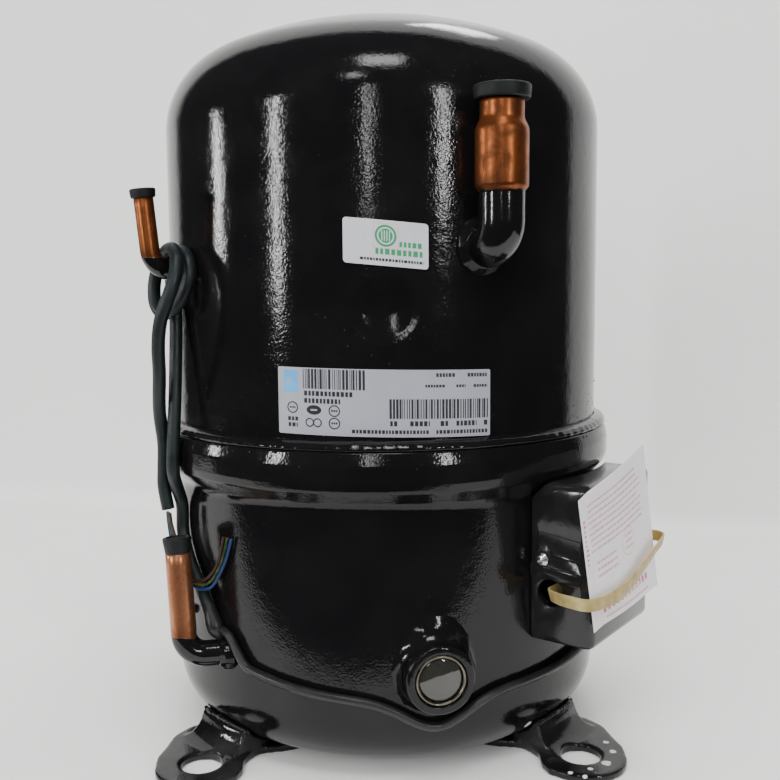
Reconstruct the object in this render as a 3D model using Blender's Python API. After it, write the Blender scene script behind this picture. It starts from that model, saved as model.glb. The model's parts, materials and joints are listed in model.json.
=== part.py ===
"""Hermetic reciprocating compressor: a two-part welded shell on four feet, with its sprung motor pump inside.

The frame is +Z up with the origin on the shell's axis, on the plane the feet stand on; the front is -Y.
Azimuths run from the front towards +X. Lengths below are in millimetres and are scaled to metres at the end.
"""
import math

import bmesh
import bpy
from mathutils import Matrix, Vector

MM = 0.001
GAP = 0.35                      # clearance kept between neighbouring pieces

# ---- driving dimensions
FOOT_PITCH = 190.5              # square mounting pattern, hole centre to hole centre
FOOT_HOLE_R = 10.2
FOOT_T = 4.0
SHELL_R = 119.0
WALL = 3.8
HEIGHT = 383.0
TOP_CORNER_R = 45.0
TOP_CROWN_R = 227.0
BASE_FLAT_R = 56.0
BASE_CORNER_R = 28.0
BASE_TANGENT_Z = 34.0
COLLAR_TOP = 164.5
COLLAR_LEDGE = 149.6
SKIRT_BOTTOM = 150.0
ROUND = 44                      # facets round the shell

BORE_R = 25.4
THROW = 13.1                    # half of the 26.2 stroke
ROD_L = 36.0
CYL_Z = 112.0                   # height of the cylinder's axis
TRAVEL = 2.5                    # the suspended pump moves this far up and down

SIGHT_AZ, SIGHT_Z = 9.7, 57.6
BOX_AZ, BOX_Z = 52.2, 105.0
BOX_W, BOX_H, BOX_FACE = 70.0, 80.0, 147.0
LABEL_R = SHELL_R + GAP


def mat(name, rgb, rough, metal=0.0):
    m = bpy.data.materials.new(name)
    m.use_nodes = True
    b = m.node_tree.nodes["Principled BSDF"]
    b.inputs["Base Color"].default_value = (*rgb, 1.0)
    b.inputs["Roughness"].default_value = rough
    b.inputs["Metallic"].default_value = metal
    m.diffuse_color = (*rgb, 1.0)
    return m


for old in list(bpy.data.objects):
    bpy.data.objects.remove(old, do_unlink=True)

PAINT = mat("black_gloss_paint", (0.010, 0.010, 0.011), 0.12)
COPPER = mat("copper", (0.45, 0.16, 0.06), 0.30, 1.0)
RUBBER = mat("black_rubber", (0.030, 0.036, 0.036), 0.70)
SHEATH = mat("grey_sheath", (0.075, 0.088, 0.090), 0.55)
BELT = mat("heater_rubber", (0.020, 0.020, 0.020), 0.50)
GLASS = mat("sight_lens", (0.30, 0.30, 0.24), 0.05)
STEEL = mat("machined_steel", (0.55, 0.55, 0.56), 0.30, 1.0)
ZINC = mat("zinc", (0.62, 0.62, 0.64), 0.30, 1.0)
IRON = mat("cast_iron", (0.16, 0.16, 0.17), 0.60, 0.6)
ALUMINIUM = mat("aluminium", (0.60, 0.60, 0.62), 0.35, 1.0)
ENAMEL = mat("winding_enamel", (0.42, 0.16, 0.05), 0.40, 0.4)
LAMINATION = mat("laminations", (0.25, 0.25, 0.27), 0.45, 0.9)
GASKET = mat("gasket_fibre", (0.12, 0.14, 0.13), 0.85)
PLASTIC = mat("black_plastic", (0.014, 0.014, 0.015), 0.25)
FILM = mat("label_film", (0.78, 0.78, 0.84), 0.35)
PAPER = mat("paper", (0.85, 0.82, 0.84), 0.80)
ELASTIC = mat("elastic_band", (0.45, 0.36, 0.16), 0.55)
BLUE = mat("blue_wire", (0.03, 0.15, 0.45), 0.40)
BROWN = mat("brown_wire", (0.12, 0.05, 0.02), 0.40)
EARTH = mat("green_yellow_wire", (0.25, 0.40, 0.06), 0.40)

CARRIERS = {}


def carrier(name, at):
    """An empty on a joint's axis, which carries that joint's pieces."""
    e = bpy.data.objects.new(name, None)
    e.location = Vector(at) * MM
    bpy.context.scene.collection.objects.link(e)
    CARRIERS[name] = e
    return e


def place(name, bm, material, on=None, cutter=False):
    """Make an object of a mesh given in millimetres in the world, with its origin on its carrier's."""
    bmesh.ops.remove_doubles(bm, verts=bm.verts, dist=0.002)
    bmesh.ops.recalc_face_normals(bm, faces=bm.faces)
    if bm.calc_volume(signed=True) < 0:
        bmesh.ops.reverse_faces(bm, faces=bm.faces)
    home = CARRIERS[on].location if on else Vector((0, 0, 0))
    bmesh.ops.transform(bm, matrix=Matrix.Translation(-home) @ Matrix.Scale(MM, 4), verts=bm.verts)
    me = bpy.data.meshes.new(name)
    bm.to_mesh(me)
    bm.free()
    me.shade_smooth()
    me.set_sharp_from_angle(angle=math.radians(32))
    ob = bpy.data.objects.new(name, me)
    bpy.context.scene.collection.objects.link(ob)
    if on:
        ob.parent = CARRIERS[on]
    if material:
        me.materials.append(material)
    if cutter:
        ob.hide_render = True
        ob.display_type = "WIRE"
    return ob


def boolean(ob, other, how="DIFFERENCE"):
    m = ob.modifiers.new(how.lower(), "BOOLEAN")
    m.object = other
    m.operation = how
    m.solver = "EXACT"


def turn_z(az):
    return Matrix.Rotation(math.radians(az), 4, "Z")


def outward(az, z):
    """Local +Z runs out from the axis at this azimuth and height, and local +Y runs up."""
    return turn_z(az) @ Matrix.Translation((0, 0, z)) @ Matrix.Rotation(math.radians(90), 4, "X")


def at(az, r, z):
    a = math.radians(az)
    return Vector((r * math.sin(a), -r * math.cos(a), z))


def turned(profile, seg=24, matrix=None, closed=False, sweep=360.0):
    """Spin a profile of (radius, height) about +Z. An open profile runs from the axis to the axis."""
    bm = bmesh.new()
    vs = [bm.verts.new((r, 0, z)) for r, z in profile]
    for a, b in zip(vs, vs[1:]):
        bm.edges.new((a, b))
    if closed:
        bm.edges.new((vs[-1], vs[0]))
    if sweep < 360:
        bm.faces.new(vs)
    geom = bm.verts[:] + bm.edges[:] + bm.faces[:]
    bmesh.ops.spin(bm, geom=geom, cent=(0, 0, 0), axis=(0, 0, 1), dvec=(0, 0, 0),
                   angle=math.radians(sweep), steps=seg, use_duplicate=False)
    bmesh.ops.remove_doubles(bm, verts=bm.verts, dist=0.002)
    if matrix:
        bmesh.ops.transform(bm, matrix=matrix, verts=bm.verts)
    return bm


def block(x0, x1, y0, y1, z0, z1, matrix=None):
    bm = bmesh.new()
    m = Matrix.Translation(((x0 + x1) / 2, (y0 + y1) / 2, (z0 + z1) / 2)) @ Matrix.Diagonal(
        (x1 - x0, y1 - y0, z1 - z0, 1))
    bmesh.ops.create_cube(bm, size=1.0, matrix=m)
    if matrix:
        bmesh.ops.transform(bm, matrix=matrix, verts=bm.verts)
    return bm


def prism(outline, z0, z1, matrix=None):
    bm = bmesh.new()
    f = bm.faces.new([bm.verts.new((x, y, z0)) for x, y in outline])
    out = bmesh.ops.extrude_face_region(bm, geom=[f])
    bmesh.ops.translate(bm, vec=(0, 0, z1 - z0), verts=[g for g in out["geom"] if isinstance(g, bmesh.types.BMVert)])
    if matrix:
        bmesh.ops.transform(bm, matrix=matrix, verts=bm.verts)
    return bm


def rod(r, a, b, seg=16):
    """A straight round bar from point a to point b."""
    a, b = Vector(a), Vector(b)
    q = (b - a).to_track_quat("Z", "Y").to_matrix().to_4x4()
    n = (b - a).length
    return turned([(0, 0), (r, 0), (r, n), (0, n)], seg, Matrix.Translation(a) @ q)


def rounded(corners, radius, steps=4):
    """A polyline with its corners turned into arcs of this bend radius."""
    pts = [Vector(p) for p in corners]
    out = [pts[0]]
    for a, p, b in zip(pts, pts[1:], pts[2:]):
        u, v = (a - p).normalized(), (b - p).normalized()
        half = u.angle(v) / 2
        reach = min(radius / math.tan(half), 0.49 * (a - p).length, 0.49 * (b - p).length)
        r = reach * math.tan(half)
        centre = p + (u + v).normalized() * (r / math.sin(half))
        s, e = p + u * reach - centre, p + v * reach - centre
        for i in range(steps + 1):
            out.append(centre + s.lerp(e, i / steps).normalized() * r)
    out.append(pts[-1])
    return out


def pipe(path, radius, bore=None, seg=12, closed=False, flat=1.0):
    """Sweep a round or flattened section along a path; radius may be one number or one per point."""
    pts = [Vector(p) for p in path]
    n = len(pts)
    radii = radius if isinstance(radius, list) else [radius] * n
    tangents = []
    for i in range(n):
        a = pts[(i - 1) % n] if closed or i else pts[0]
        b = pts[(i + 1) % n] if closed or i < n - 1 else pts[-1]
        tangents.append((b - a).normalized())
    side = tangents[0].orthogonal().normalized()
    bm = bmesh.new()

    def ring(p, t, s, r):
        up = t.cross(s).normalized()
        return [bm.verts.new(p + s * (r * math.cos(k)) + up * (r * math.sin(k) * flat))
                for k in (2 * math.pi * j / seg for j in range(seg))]

    outer, inner = [], []
    for i, (p, t) in enumerate(zip(pts, tangents)):
        side = (side - t * side.dot(t)).normalized()
        outer.append(ring(p, t, side, radii[i]))
        if bore:
            inner.append(ring(p, t, side, bore))

    def skin(a, b):
        for j in range(seg):
            bm.faces.new((a[j], a[(j + 1) % seg], b[(j + 1) % seg], b[j]))

    for a, b in zip(outer, outer[1:]):
        skin(a, b)
    for a, b in zip(inner, inner[1:]):
        skin(a, b)
    if closed:
        skin(outer[-1], outer[0])
    elif bore:
        skin(outer[0], inner[0])
        skin(outer[-1], inner[-1])
    else:
        bm.faces.new(outer[0])
        bm.faces.new(outer[-1])
    return bm


def smooth_path(knots, per=4, closed=False):
    """A Catmull-Rom curve through the knots."""
    k = [Vector(p) for p in knots]
    n = len(k)
    out = []
    for i in range(n if closed else n - 1):
        a, b, c, d = (k[(i - 1) % n] if closed or i else k[0], k[i], k[(i + 1) % n],
                      k[(i + 2) % n] if closed or i < n - 2 else k[-1])
        for j in range(per):
            t = j / per
            out.append(0.5 * (2 * b + (c - a) * t + (2 * a - 5 * b + 4 * c - d) * t * t
                              + (3 * b - a - 3 * c + d) * t ** 3))
    if not closed:
        out.append(k[-1])
    return out


def stack(sections, seg=24):
    """Closed body of round sections (z, x, y, radius), each joined to the next."""
    bm = bmesh.new()
    rings = []
    for z, x, y, r in sections:
        rings.append([bm.verts.new((x + r * math.cos(a), y + r * math.sin(a), z))
                      for a in (2 * math.pi * j / seg for j in range(seg))])
    for a, b in zip(rings, rings[1:]):
        for j in range(seg):
            bm.faces.new((a[j], a[(j + 1) % seg], b[(j + 1) % seg], b[j]))
    bm.faces.new(rings[0])
    bm.faces.new(rings[-1])
    return bm


def arc(cx, cz, r, a0, a1, n):
    return [(cx + r * math.cos(math.radians(a0 + (a1 - a0) * i / n)),
             cz + r * math.sin(math.radians(a0 + (a1 - a0) * i / n))) for i in range(n + 1)]


# ---- joint carriers
WRIST_X = THROW + ROD_L
carrier("pump_carriage", (0, 0, CYL_Z))
carrier("crank_axis", (0, 0, CYL_Z))
carrier("crankpin_axis", (THROW, 0, CYL_Z))
carrier("piston_axis", (WRIST_X, 0, CYL_Z))
carrier("suction_reed_root", (90.0, -10, 123))
carrier("discharge_reed_root", (94.6, 10, 123))
carrier("cover_slide", tuple(at(BOX_AZ, BOX_FACE, BOX_Z)))

# ================================================================ shell
def crown(inset):
    """Quarter section of the domed top, from the apex down to the straight wall."""
    rc, rs, r = TOP_CORNER_R - inset, TOP_CROWN_R - inset, SHELL_R - inset
    cz = HEIGHT - inset - rs + math.sqrt((rs - rc) ** 2 - (r - rc) ** 2)
    joint = math.degrees(math.atan2(cz - (HEIGHT - inset - rs), r - rc))
    n = 2 if inset else 4
    dome = arc(0, HEIGHT - inset - rs, rs, 90, joint, 2)
    dome[0] = (0, HEIGHT - inset)
    return dome + arc(r - rc, cz, rc, joint, 0, n)[1:]


upper = crown(0) + [(SHELL_R, SKIRT_BOTTOM), (SHELL_R - WALL, SKIRT_BOTTOM)] + crown(WALL)[::-1]
upper_shell = place("upper_shell", turned(upper, ROUND), PAINT)


def pan(inset):
    """Lower section from the centre of the base, out along its shallow slope and up its corner."""
    cx, cz, rc = SHELL_R - BASE_CORNER_R, BASE_TANGENT_Z, BASE_CORNER_R - inset
    d = math.hypot(cx - BASE_FLAT_R, cz)
    slope = math.degrees(math.atan2(cz, cx - BASE_FLAT_R) - math.asin(BASE_CORNER_R / d))
    flat = BASE_FLAT_R - inset * math.tan(math.radians(slope / 2))
    return [(0, inset), (flat, inset)] + arc(cx, cz, rc, slope - 90, 0, 2 if inset else 4)


lower = pan(0) + [(SHELL_R, 137.5), (125.4, 145.5), (126.3, 149.5), (126.2, 158), (124.6, COLLAR_TOP),
                  (LABEL_R, COLLAR_TOP), (LABEL_R, COLLAR_LEDGE), (SHELL_R - WALL, COLLAR_LEDGE)] + pan(WALL)[::-1]
lower_shell = place("lower_shell", turned(lower, ROUND), PAINT)

weld = [(LABEL_R, 164.9), (124.8, 164.9), (123.6, 167.4), (LABEL_R, 169.2)]
place("seam_weld", turned(weld, ROUND, closed=True), PAINT)

# the shallow pressed dimple on the upper shell
DIMPLE_R, DIMPLE_DEEP = 13.5, 2.2
ball = (DIMPLE_R ** 2 + DIMPLE_DEEP ** 2) / (2 * DIMPLE_DEEP)
half = math.degrees(math.asin(16.0 / ball))
dish = [(0, SHELL_R - DIMPLE_DEEP)] + arc(0, SHELL_R - DIMPLE_DEEP + ball, ball, -90, -90 + half, 4)[1:] + [(0, SHELL_R + 5)]
boolean(upper_shell, place("dimple_cutter", turned(dish, 20, outward(-0.8, 228.7)), None, cutter=True))

# ================================================================ feet
def foot(name, az, wide):
    """A foot round its hole: a broad ear on one side, as wide says, and a narrow waist on the other."""
    reach = FOOT_PITCH / math.sqrt(2)
    ear = [(11.5, 21.8), (2.0, 28.0), (-8.0, 35.5), (-21.0, 38.5), (-34.6, 33.4), (-44.0, 28.0), (-51.0, 26.0)]
    waist = [(-51.0, -21.0), (-40.8, -16.4), (-29.5, -8.5), (-17.0, -12.0), (-11.0, -19.0), (-4.0, -22.6)]
    lobe = [(21.5 * math.cos(math.radians(a)) + 1.5, 22 * math.sin(math.radians(a))) for a in range(-80, 41, 20)]
    outline = [(u, wide * v) for u, v in waist + lobe + ear]
    m = turn_z(az) @ Matrix.Rotation(math.radians(-90), 4, "Z") @ Matrix.Translation((reach, 0, 0))
    ob = place(name, prism(outline, 0, FOOT_T, m), PAINT)
    cx, cz = SHELL_R - BASE_CORNER_R, BASE_TANGENT_Z
    web = arc(cx, cz, BASE_CORNER_R + GAP, -74, -36, 4) + [(116.3, 15.4), (118.4, 9.8), (122.8, 5.8), (129.5, 3.4)]
    web += [(129.5, 2.0), (web[0][0], 2.0)]
    short, spread = 5.0 if wide > 0 else 14.0, 19.0
    rise = turned(web, 4, turn_z(az - short - 90), closed=True, sweep=spread)
    boolean(ob, place(name + "_web", rise, None, cutter=True), "UNION")
    p = at(az, reach, 0)
    boolean(ob, place(name + "_hole", rod(FOOT_HOLE_R, (p.x, p.y, -5), (p.x, p.y, 12), 18), None, cutter=True))


for foot_name, foot_az, ear_side in (("foot_front_left", -45, -1), ("foot_front_right", 45, 1),
                                     ("foot_rear_left", -135, 1), ("foot_rear_right", 135, -1)):
    foot(foot_name, foot_az, ear_side)

# ================================================================ tubes and their plugs
def tube(name, path, radii, bore, shell, hole_r):
    place(name, pipe(path, radii, bore, 10), COPPER)
    cut = pipe([path[0] + (path[0] - path[1]).normalized() * 12] + path[1:4], hole_r, None, 12)
    boolean(shell, place(name + "_port", cut, None, cutter=True))


def plug(name, top, direction, flange_r, flange_t, stem_r, stem_l):
    """A rubber stopper on a tube's open end; its carrier sits on the tube's axis at the mouth."""
    mouth, d = Vector(top), Vector(direction).normalized()
    carrier(name + "_slide", tuple(mouth))
    q = d.to_track_quat("Z", "Y").to_matrix().to_4x4()
    prof = [(0, -stem_l), (stem_r - 0.8, -stem_l), (stem_r, -stem_l + 2), (stem_r, GAP), (flange_r - 0.6, GAP),
            (flange_r, 1.4), (flange_r, flange_t - 0.8), (flange_r - 0.9, flange_t), (0, flange_t)]
    place(name, turned(prof, 12, Matrix.Translation(mouth) @ q), RUBBER, name + "_slide")


# suction: out through the wall, up into a wide socket with a short neck
S_ROOT, S_ELBOW, S_TOP = at(20.6, 105, 258), at(21.8, 134, 258), at(21.8, 134, 320.7)
bend = rounded([S_ROOT, S_ELBOW, S_ELBOW.lerp(S_TOP, 0.35)], 17, 4)
up = [S_ELBOW.lerp(S_TOP, (z - 258) / 62.7) for z in (280.2, 282.0, 308.0, 313.5, 320.7)]
tube("suction_tube", bend + up, [10.4] * len(bend) + [10.4, 12.0, 12.0, 9.9, 9.9], 8.2, upper_shell, 10.8)
plug("suction_plug", S_TOP, S_TOP - S_ELBOW, 13.0, 6.4, 7.8, 12)

# process: a thin charging stub standing well clear of the wall
P_AZ = -55.5
P_ROOT, P_ELBOW, P_TOP = at(P_AZ, 103, 248), at(-56.4, 138.5, 248), at(-56.8, 141.5, 283)
tube("process_tube", rounded([P_ROOT, P_ELBOW, P_TOP], 11, 3), 4.8, 3.9, upper_shell, 5.2)
plug("process_plug", P_TOP, P_TOP - P_ELBOW, 6.4, 4.8, 3.5, 9)

# discharge: runs along the wall before it enters, so its port is oblique
D_TOP, D_ELBOW = at(-51.2, 135.6, 108.3), at(-49.4, 135.6, 57)
D_ENTRY = at(-44.8, SHELL_R, 57)
D_ROOT = D_ENTRY + (D_ENTRY - D_ELBOW).normalized() * 16
tube("discharge_tube", rounded([D_ROOT, D_ELBOW, D_TOP], 11, 4), 6.35, 5.2, lower_shell, 6.75)
plug("discharge_plug", D_TOP, D_TOP - D_ELBOW, 7.3, 8.1, 4.8, 10)

# ================================================================ sight glass
sg = outward(SIGHT_AZ, SIGHT_Z)
sight_hole = turned([(0, 100), (17.1, 100), (17.1, 140), (0, 140)], 24, sg)
boolean(lower_shell, place("sight_port", sight_hole, None, cutter=True))
housing = [(8.5, 109), (16.7, 109), (16.7, 129.8), (15.4, 131.2), (12.6, 131.2), (12.6, 126.6), (8.5, 126.6)]
place("sight_glass_housing", turned(housing, 24, sg, closed=True), PAINT)
place("sight_glass_ring", turned([(10.7, 127.0), (12.2, 127.0), (12.2, 130.4), (10.7, 130.4)], 24, sg, closed=True), ZINC)
place("sight_glass_lens", turned([(0, 127.0), (10.4, 127.0), (10.4, 129.2), (9.4, 129.8), (0, 130.0)], 24, sg), GLASS)

# ================================================================ crankcase heater
def ease(t):
    t = min(max(t, 0.0), 1.0)
    return t * t * (3 - 2 * t)


def belt_z(az):
    """Height of the belt: level round the back, lower at the front, and dipping under the sight glass."""
    z = 44.5 + (0.0055 if az < 5 else 0.0020) * (az - 5) ** 2
    z = min(z, 56.0) - 13.0 * math.exp(-((az - SIGHT_AZ) / 9.5) ** 2)
    return z + 13.0 * ease((-35.0 - az) / 8.0) + 14.0 * ease((az - 285.0) / 14.0)


def belt_r(z):
    drop = max(BASE_TANGENT_Z - z, 0.0)
    return SHELL_R - BASE_CORNER_R + math.sqrt(BASE_CORNER_R ** 2 - drop ** 2) + GAP + 2.5


def belt_point(az):
    return at(az, belt_r(belt_z(az)), belt_z(az))


steps = list(range(-46, -24, 4)) + list(range(-22, 31, 4)) + list(range(36, 282, 10)) + list(range(286, 301, 4))
place("heater_belt", pipe([belt_point(a) for a in steps], 2.3, None, 6), BELT)

# the heater's supply cable: up from the belt's joint by the discharge tube, over the collar, two turns round the
# process tube's elbow, and down again to its bare end. The turns are laid out across the elbow's run.
def by_elbow(across, r, z):
    return turn_z(-56.4) @ Vector((across, -r, z))


CABLE = [at(-47, 122.9, 74), at(-51, 122.8, 86), at(-57, 122.8, 99), at(-61, 122.8, 112), at(-61, 122.9, 127),
         at(-59, 127, 138), at(-57, 130.4, 147), at(-56.6, 130.4, 160), at(-57.6, 128, 180), at(-59.3, 125.2, 205),
         at(-61.5, 122.9, 228), by_elbow(-14.8, 122.6, 244), by_elbow(-11.4, 122.6, 254.4),
         by_elbow(-2.5, 122.6, 258.1), by_elbow(6.4, 122.7, 254.2), by_elbow(10, 123.8, 245.5),
         by_elbow(7.6, 126, 236), by_elbow(1.2, 128.8, 229), by_elbow(-7, 131.2, 227), by_elbow(-13.2, 132.2, 232),
         by_elbow(-14.6, 131.8, 241.5), by_elbow(-11.2, 130.6, 251), by_elbow(-3.6, 129.8, 257.6),
         by_elbow(5.6, 130, 258.6), by_elbow(13, 131.3, 253.6), by_elbow(16.3, 134, 244.5),
         by_elbow(15.5, 137.5, 234.5), by_elbow(12, 140, 224), by_elbow(7.5, 139.8, 212), by_elbow(2, 137.5, 197),
         by_elbow(-7, 134.4, 178), at(-61.1, 131.6, 160), at(-61.4, 131.8, 147), at(-61.4, 132.0, 138),
         at(-60.8, 130.6, 126)]
place("heater_cable", pipe(smooth_path(CABLE, 2), 3.3, None, 6), SHEATH)
for wire, off, m in (("wire_blue", -1.9, BLUE), ("wire_earth", 0.0, EARTH), ("wire_brown", 1.9, BROWN)):
    W = [at(-60.8 + off * 0.45, 130.4, 124.2), at(-60.6 + off * 0.6, 130.0, 118), at(-59.5 + off * 0.7, 129.2, 110 + off),
         at(-57.5 + off * 0.4, 128.4, 104 + off), at(-54.8 + off * 0.4, 127.8, 97 + off), at(-50.5, 127.3, 91.5 + off),
         at(-46.8 - off * 0.4, 124.2, 93 + off), at(-43.5 - off * 0.6, 121.8, 104), at(-41.6 - off * 0.7, 120.8, 117)]
    place(wire, pipe(smooth_path(W, 2), 0.8, None, 5), m)

# ================================================================ terminal box
bx = turn_z(BOX_AZ)
term = outward(BOX_AZ, BOX_Z)
boolean(lower_shell, place("terminal_port", turned([(0, 95), (17.4, 95), (17.4, 140), (0, 140)], 18, term), None, cutter=True))
cup = place("hermetic_terminal", turned([(0, 113), (13, 113), (17.0, 116), (17.0, 121.5), (15.5, 122.5),
                                         (13, 119), (0, 119)], 18, term), STEEL)
for i in range(3):
    a = math.radians(90 + 120 * i)
    lx, ly = 7.5 * math.cos(a), 7.5 * math.sin(a)
    pin = turned([(0, 105), (1.6, 105), (1.6, 131), (0, 131)], 8, term @ Matrix.Translation((lx, ly, 0)))
    boolean(cup, place(f"terminal_pin_{i + 1}", pin, None, cutter=True), "UNION")


def shell_cutter(name, r):
    return place(name, turned([(0, 20), (r, 20), (r, 136.5), (r + 7.4, 145), (r + 7.4, 200), (0, 200)], ROUND), None, cutter=True)


wall_cut = shell_cutter("wall_cutter", LABEL_R + 0.05)
HW, HH = BOX_W / 2, BOX_H / 2
fence = place("terminal_fence", block(-HW + 3, HW - 3, -129, -90, BOX_Z - HH + 3, BOX_Z + HH - 3, bx), PAINT)
boolean(fence, place("fence_hollow", block(-HW + 5, HW - 5, -140, -80, BOX_Z - HH + 5, BOX_Z + HH - 5, bx), None, cutter=True))
boolean(fence, wall_cut)
cable_way = place("cable_way", rod(7.0, bx @ Vector((-60, -125, 90.6)), bx @ Vector((60, -125, 90.6)), 20), None, cutter=True)
boolean(fence, cable_way)

cover = place("terminal_cover", block(-HW, HW, -BOX_FACE, -100, BOX_Z - HH, BOX_Z + HH, bx), PLASTIC, "cover_slide")
boolean(cover, place("cover_hollow", block(-HW + 2, HW - 2, -BOX_FACE + 2.2, -80, BOX_Z - HH + 2, BOX_Z + HH - 2, bx),
                     None, cutter=True))
boolean(cover, shell_cutter("cover_wall_cutter", LABEL_R + 0.5))
boolean(cover, cable_way)
SCREW = Vector((-HW, -121.0, 107.0))
boolean(cover, place("screw_hole", rod(1.9, bx @ (SCREW + Vector((-4, 0, 0))), bx @ (SCREW + Vector((5, 0, 0))), 12),
                     None, cutter=True))
side = bx @ Matrix.Translation(SCREW) @ Matrix.Rotation(math.radians(-90), 4, "Y")
screw = [(0, -2.4), (1.5, -2.4), (1.5, GAP), (3.2, GAP), (3.2, 1.2), (2.2, 2.2), (0, 2.4)]
place("cover_screw", turned(screw, 16, side), ZINC, "cover_slide")

sheet = bx @ Matrix.Translation((-9, -BOX_FACE - 1.0, 110)) @ Matrix.Rotation(math.radians(-12), 4, "Y")
place("leaflet", block(-36, 36, -0.6, 0.6, -38, 38, sheet), PAPER, "cover_slide")
loop = [(-26, 125.0, 90.6), (-36, 125.4, 90.6), (-46, 131, 90.2), (-53, 141, 89.2), (-52, 150.6, 88.0),
        (-24, 151.6, 86.0), (-6, 151.6, 86.6), (12, 151.8, 92.0), (32, 151.8, 97.5), (46, 149.5, 100),
        (50, 140, 99), (46, 130, 95), (36, 125.4, 90.8), (26, 125.0, 90.6)]
ribbon = smooth_path([bx @ Vector((t, -d, z)) for t, d, z in loop], 2, closed=True)


def band(path, wide, thick):
    """A flat closed ribbon whose width stays upright."""
    bm = bmesh.new()
    n = len(path)
    rings = []
    for i, p in enumerate(path):
        t = (path[(i + 1) % n] - path[i - 1]).normalized()
        w = Vector((0, 0, 1))
        w = (w - t * w.dot(t)).normalized()
        o = t.cross(w).normalized()
        rings.append([bm.verts.new(p + w * (wide / 2 * a) + o * (thick / 2 * b))
                      for a, b in ((1, 1), (1, -1), (-1, -1), (-1, 1))])
    for a, b in zip(rings, rings[1:] + rings[:1]):
        for j in range(4):
            bm.faces.new((a[j], a[(j + 1) % 4], b[(j + 1) % 4], b[j]))
    return bm


place("rubber_band", band(ribbon, 6.0, 1.1), ELASTIC, "cover_slide")


# ================================================================ labels
def label(name, az0, az1, z0, z1, lean, material):
    """A film label bent round the shell; lean lowers its right end by this much."""
    bm = turned([(LABEL_R, z0), (LABEL_R + 0.35, z0), (LABEL_R + 0.35, z1), (LABEL_R, z1)], 8,
                turn_z(az0 - 90), closed=True, sweep=az1 - az0)
    for v in bm.verts:
        a = math.degrees(math.atan2(v.co.x, -v.co.y))
        v.co.z += lean * (0.5 - (a - az0) / (az1 - az0))
    place(name, bm, material)


label("nameplate", -25.9, 23.0, 170.7, 201.9, 2.2, FILM)
label("round_mark_label", -10.2, 8.4, 248.8, 269.2, 3.7, FILM)

# ================================================================ suspension
SPRING_R, SPRING_Z0, SPRING_Z1 = 58.0, 10.3, 77.7
for i, ang in enumerate((90, 210, 330)):
    c = Matrix.Rotation(math.radians(ang), 4, "Z") @ Matrix.Translation((SPRING_R, 0, 0))
    place(f"spring_post_{i + 1}", turned([(0, 7), (11, 7), (11, 10), (6, 10), (6, 32), (4.5, 34), (0, 34)], 14, c), STEEL)
    turns, per = 5, 8
    n = turns * per
    coil = [c @ Vector((8.6 * math.cos(2 * math.pi * k / per), 8.6 * math.sin(2 * math.pi * k / per),
                        SPRING_Z0 + 1.6 + (SPRING_Z1 - SPRING_Z0 - 3.2) * k / n)) for k in range(n + 1)]
    place(f"spring_{i + 1}", pipe(coil, 1.45, None, 5), STEEL)

# ================================================================ pump: block and cylinder
PUMP = "pump_carriage"
case = [(32, 78), (70, 78), (70, 86), (40, 86), (40, 150), (90, 150), (90, 204.7), (79, 204.7), (79, 160),
        (22, 160), (22, 196), (12.4, 196), (12.4, 146), (32, 146)]
crankcase = place("crankcase", turned(case, 24, closed=True), IRON, PUMP)
boolean(crankcase, place("barrel", block(33, 88, -32, 32, CYL_Z - 32, CYL_Z + 32), None, cutter=True), "UNION")


def along_x(r, x0, x1, seg, y=0.0, z=CYL_Z):
    return rod(r, (x0, y, z), (x1, y, z), seg)


boolean(crankcase, place("cavity_cutter", turned([(0, 70), (32, 70), (32, 146), (0, 146)], 24), None, cutter=True))
boolean(crankcase, place("bore_cutter", along_x(BORE_R, 22, 100, 24), None, cutter=True))

plate = place("valve_plate", block(88.3, 94.3, -32, 32, CYL_Z - 32, CYL_Z + 32), STEEL, PUMP)
boolean(plate, place("reed_recess", block(80, 90.3, -16, -4, 97, 126), None, cutter=True))
gasket = place("head_gasket", block(94.6, 95.4, -32, 32, CYL_Z - 32, CYL_Z + 32), GASKET, PUMP)
head = place("cylinder_head", block(95.7, 103.5, -32, 32, CYL_Z - 32, CYL_Z + 32), IRON, PUMP)
for tag, y0, y1 in (("suction", -22, -2), ("discharge", 2, 22)):
    boolean(head, place(tag + "_chamber", block(90, 101.5, y0, y1, CYL_Z - 22, CYL_Z + 22), None, cutter=True))
    boolean(gasket, place(tag + "_window", block(90, 100, y0, y1, CYL_Z - 22, CYL_Z + 22), None, cutter=True))
    boolean(plate, place(tag + "_valve_port", along_x(3.6, 80, 100, 14, (y0 + y1) / 2 + (2 if y0 < 0 else -2), 102),
                         None, cutter=True))
for i, (sy, sz) in enumerate(((-1, -1), (1, -1), (1, 1), (-1, 1))):
    y, z = 27.0 * sy, CYL_Z + 27.0 * sz
    hole = place(f"bolt_hole_{i + 1}", along_x(2.8, 76, 112, 12, y, z), None, cutter=True)
    for piece in (crankcase, plate, gasket, head):
        boolean(piece, hole)
    m = Matrix.Translation((0, y, z)) @ Matrix.Rotation(math.radians(90), 4, "Y")
    shank = [(0, 77), (2.4, 77), (2.4, 103.8), (4.4, 103.8), (4.4, 107), (0, 107)]
    place(f"head_bolt_{i + 1}", turned(shank, 6, m), STEEL, PUMP)

place("suction_reed", block(89.4, 90.0, -13, -7, 98, 124.5), STEEL, "suction_reed_root")
place("discharge_reed", block(94.6, 95.2, 7, 13, 98, 124.5), STEEL, "discharge_reed_root")

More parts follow.
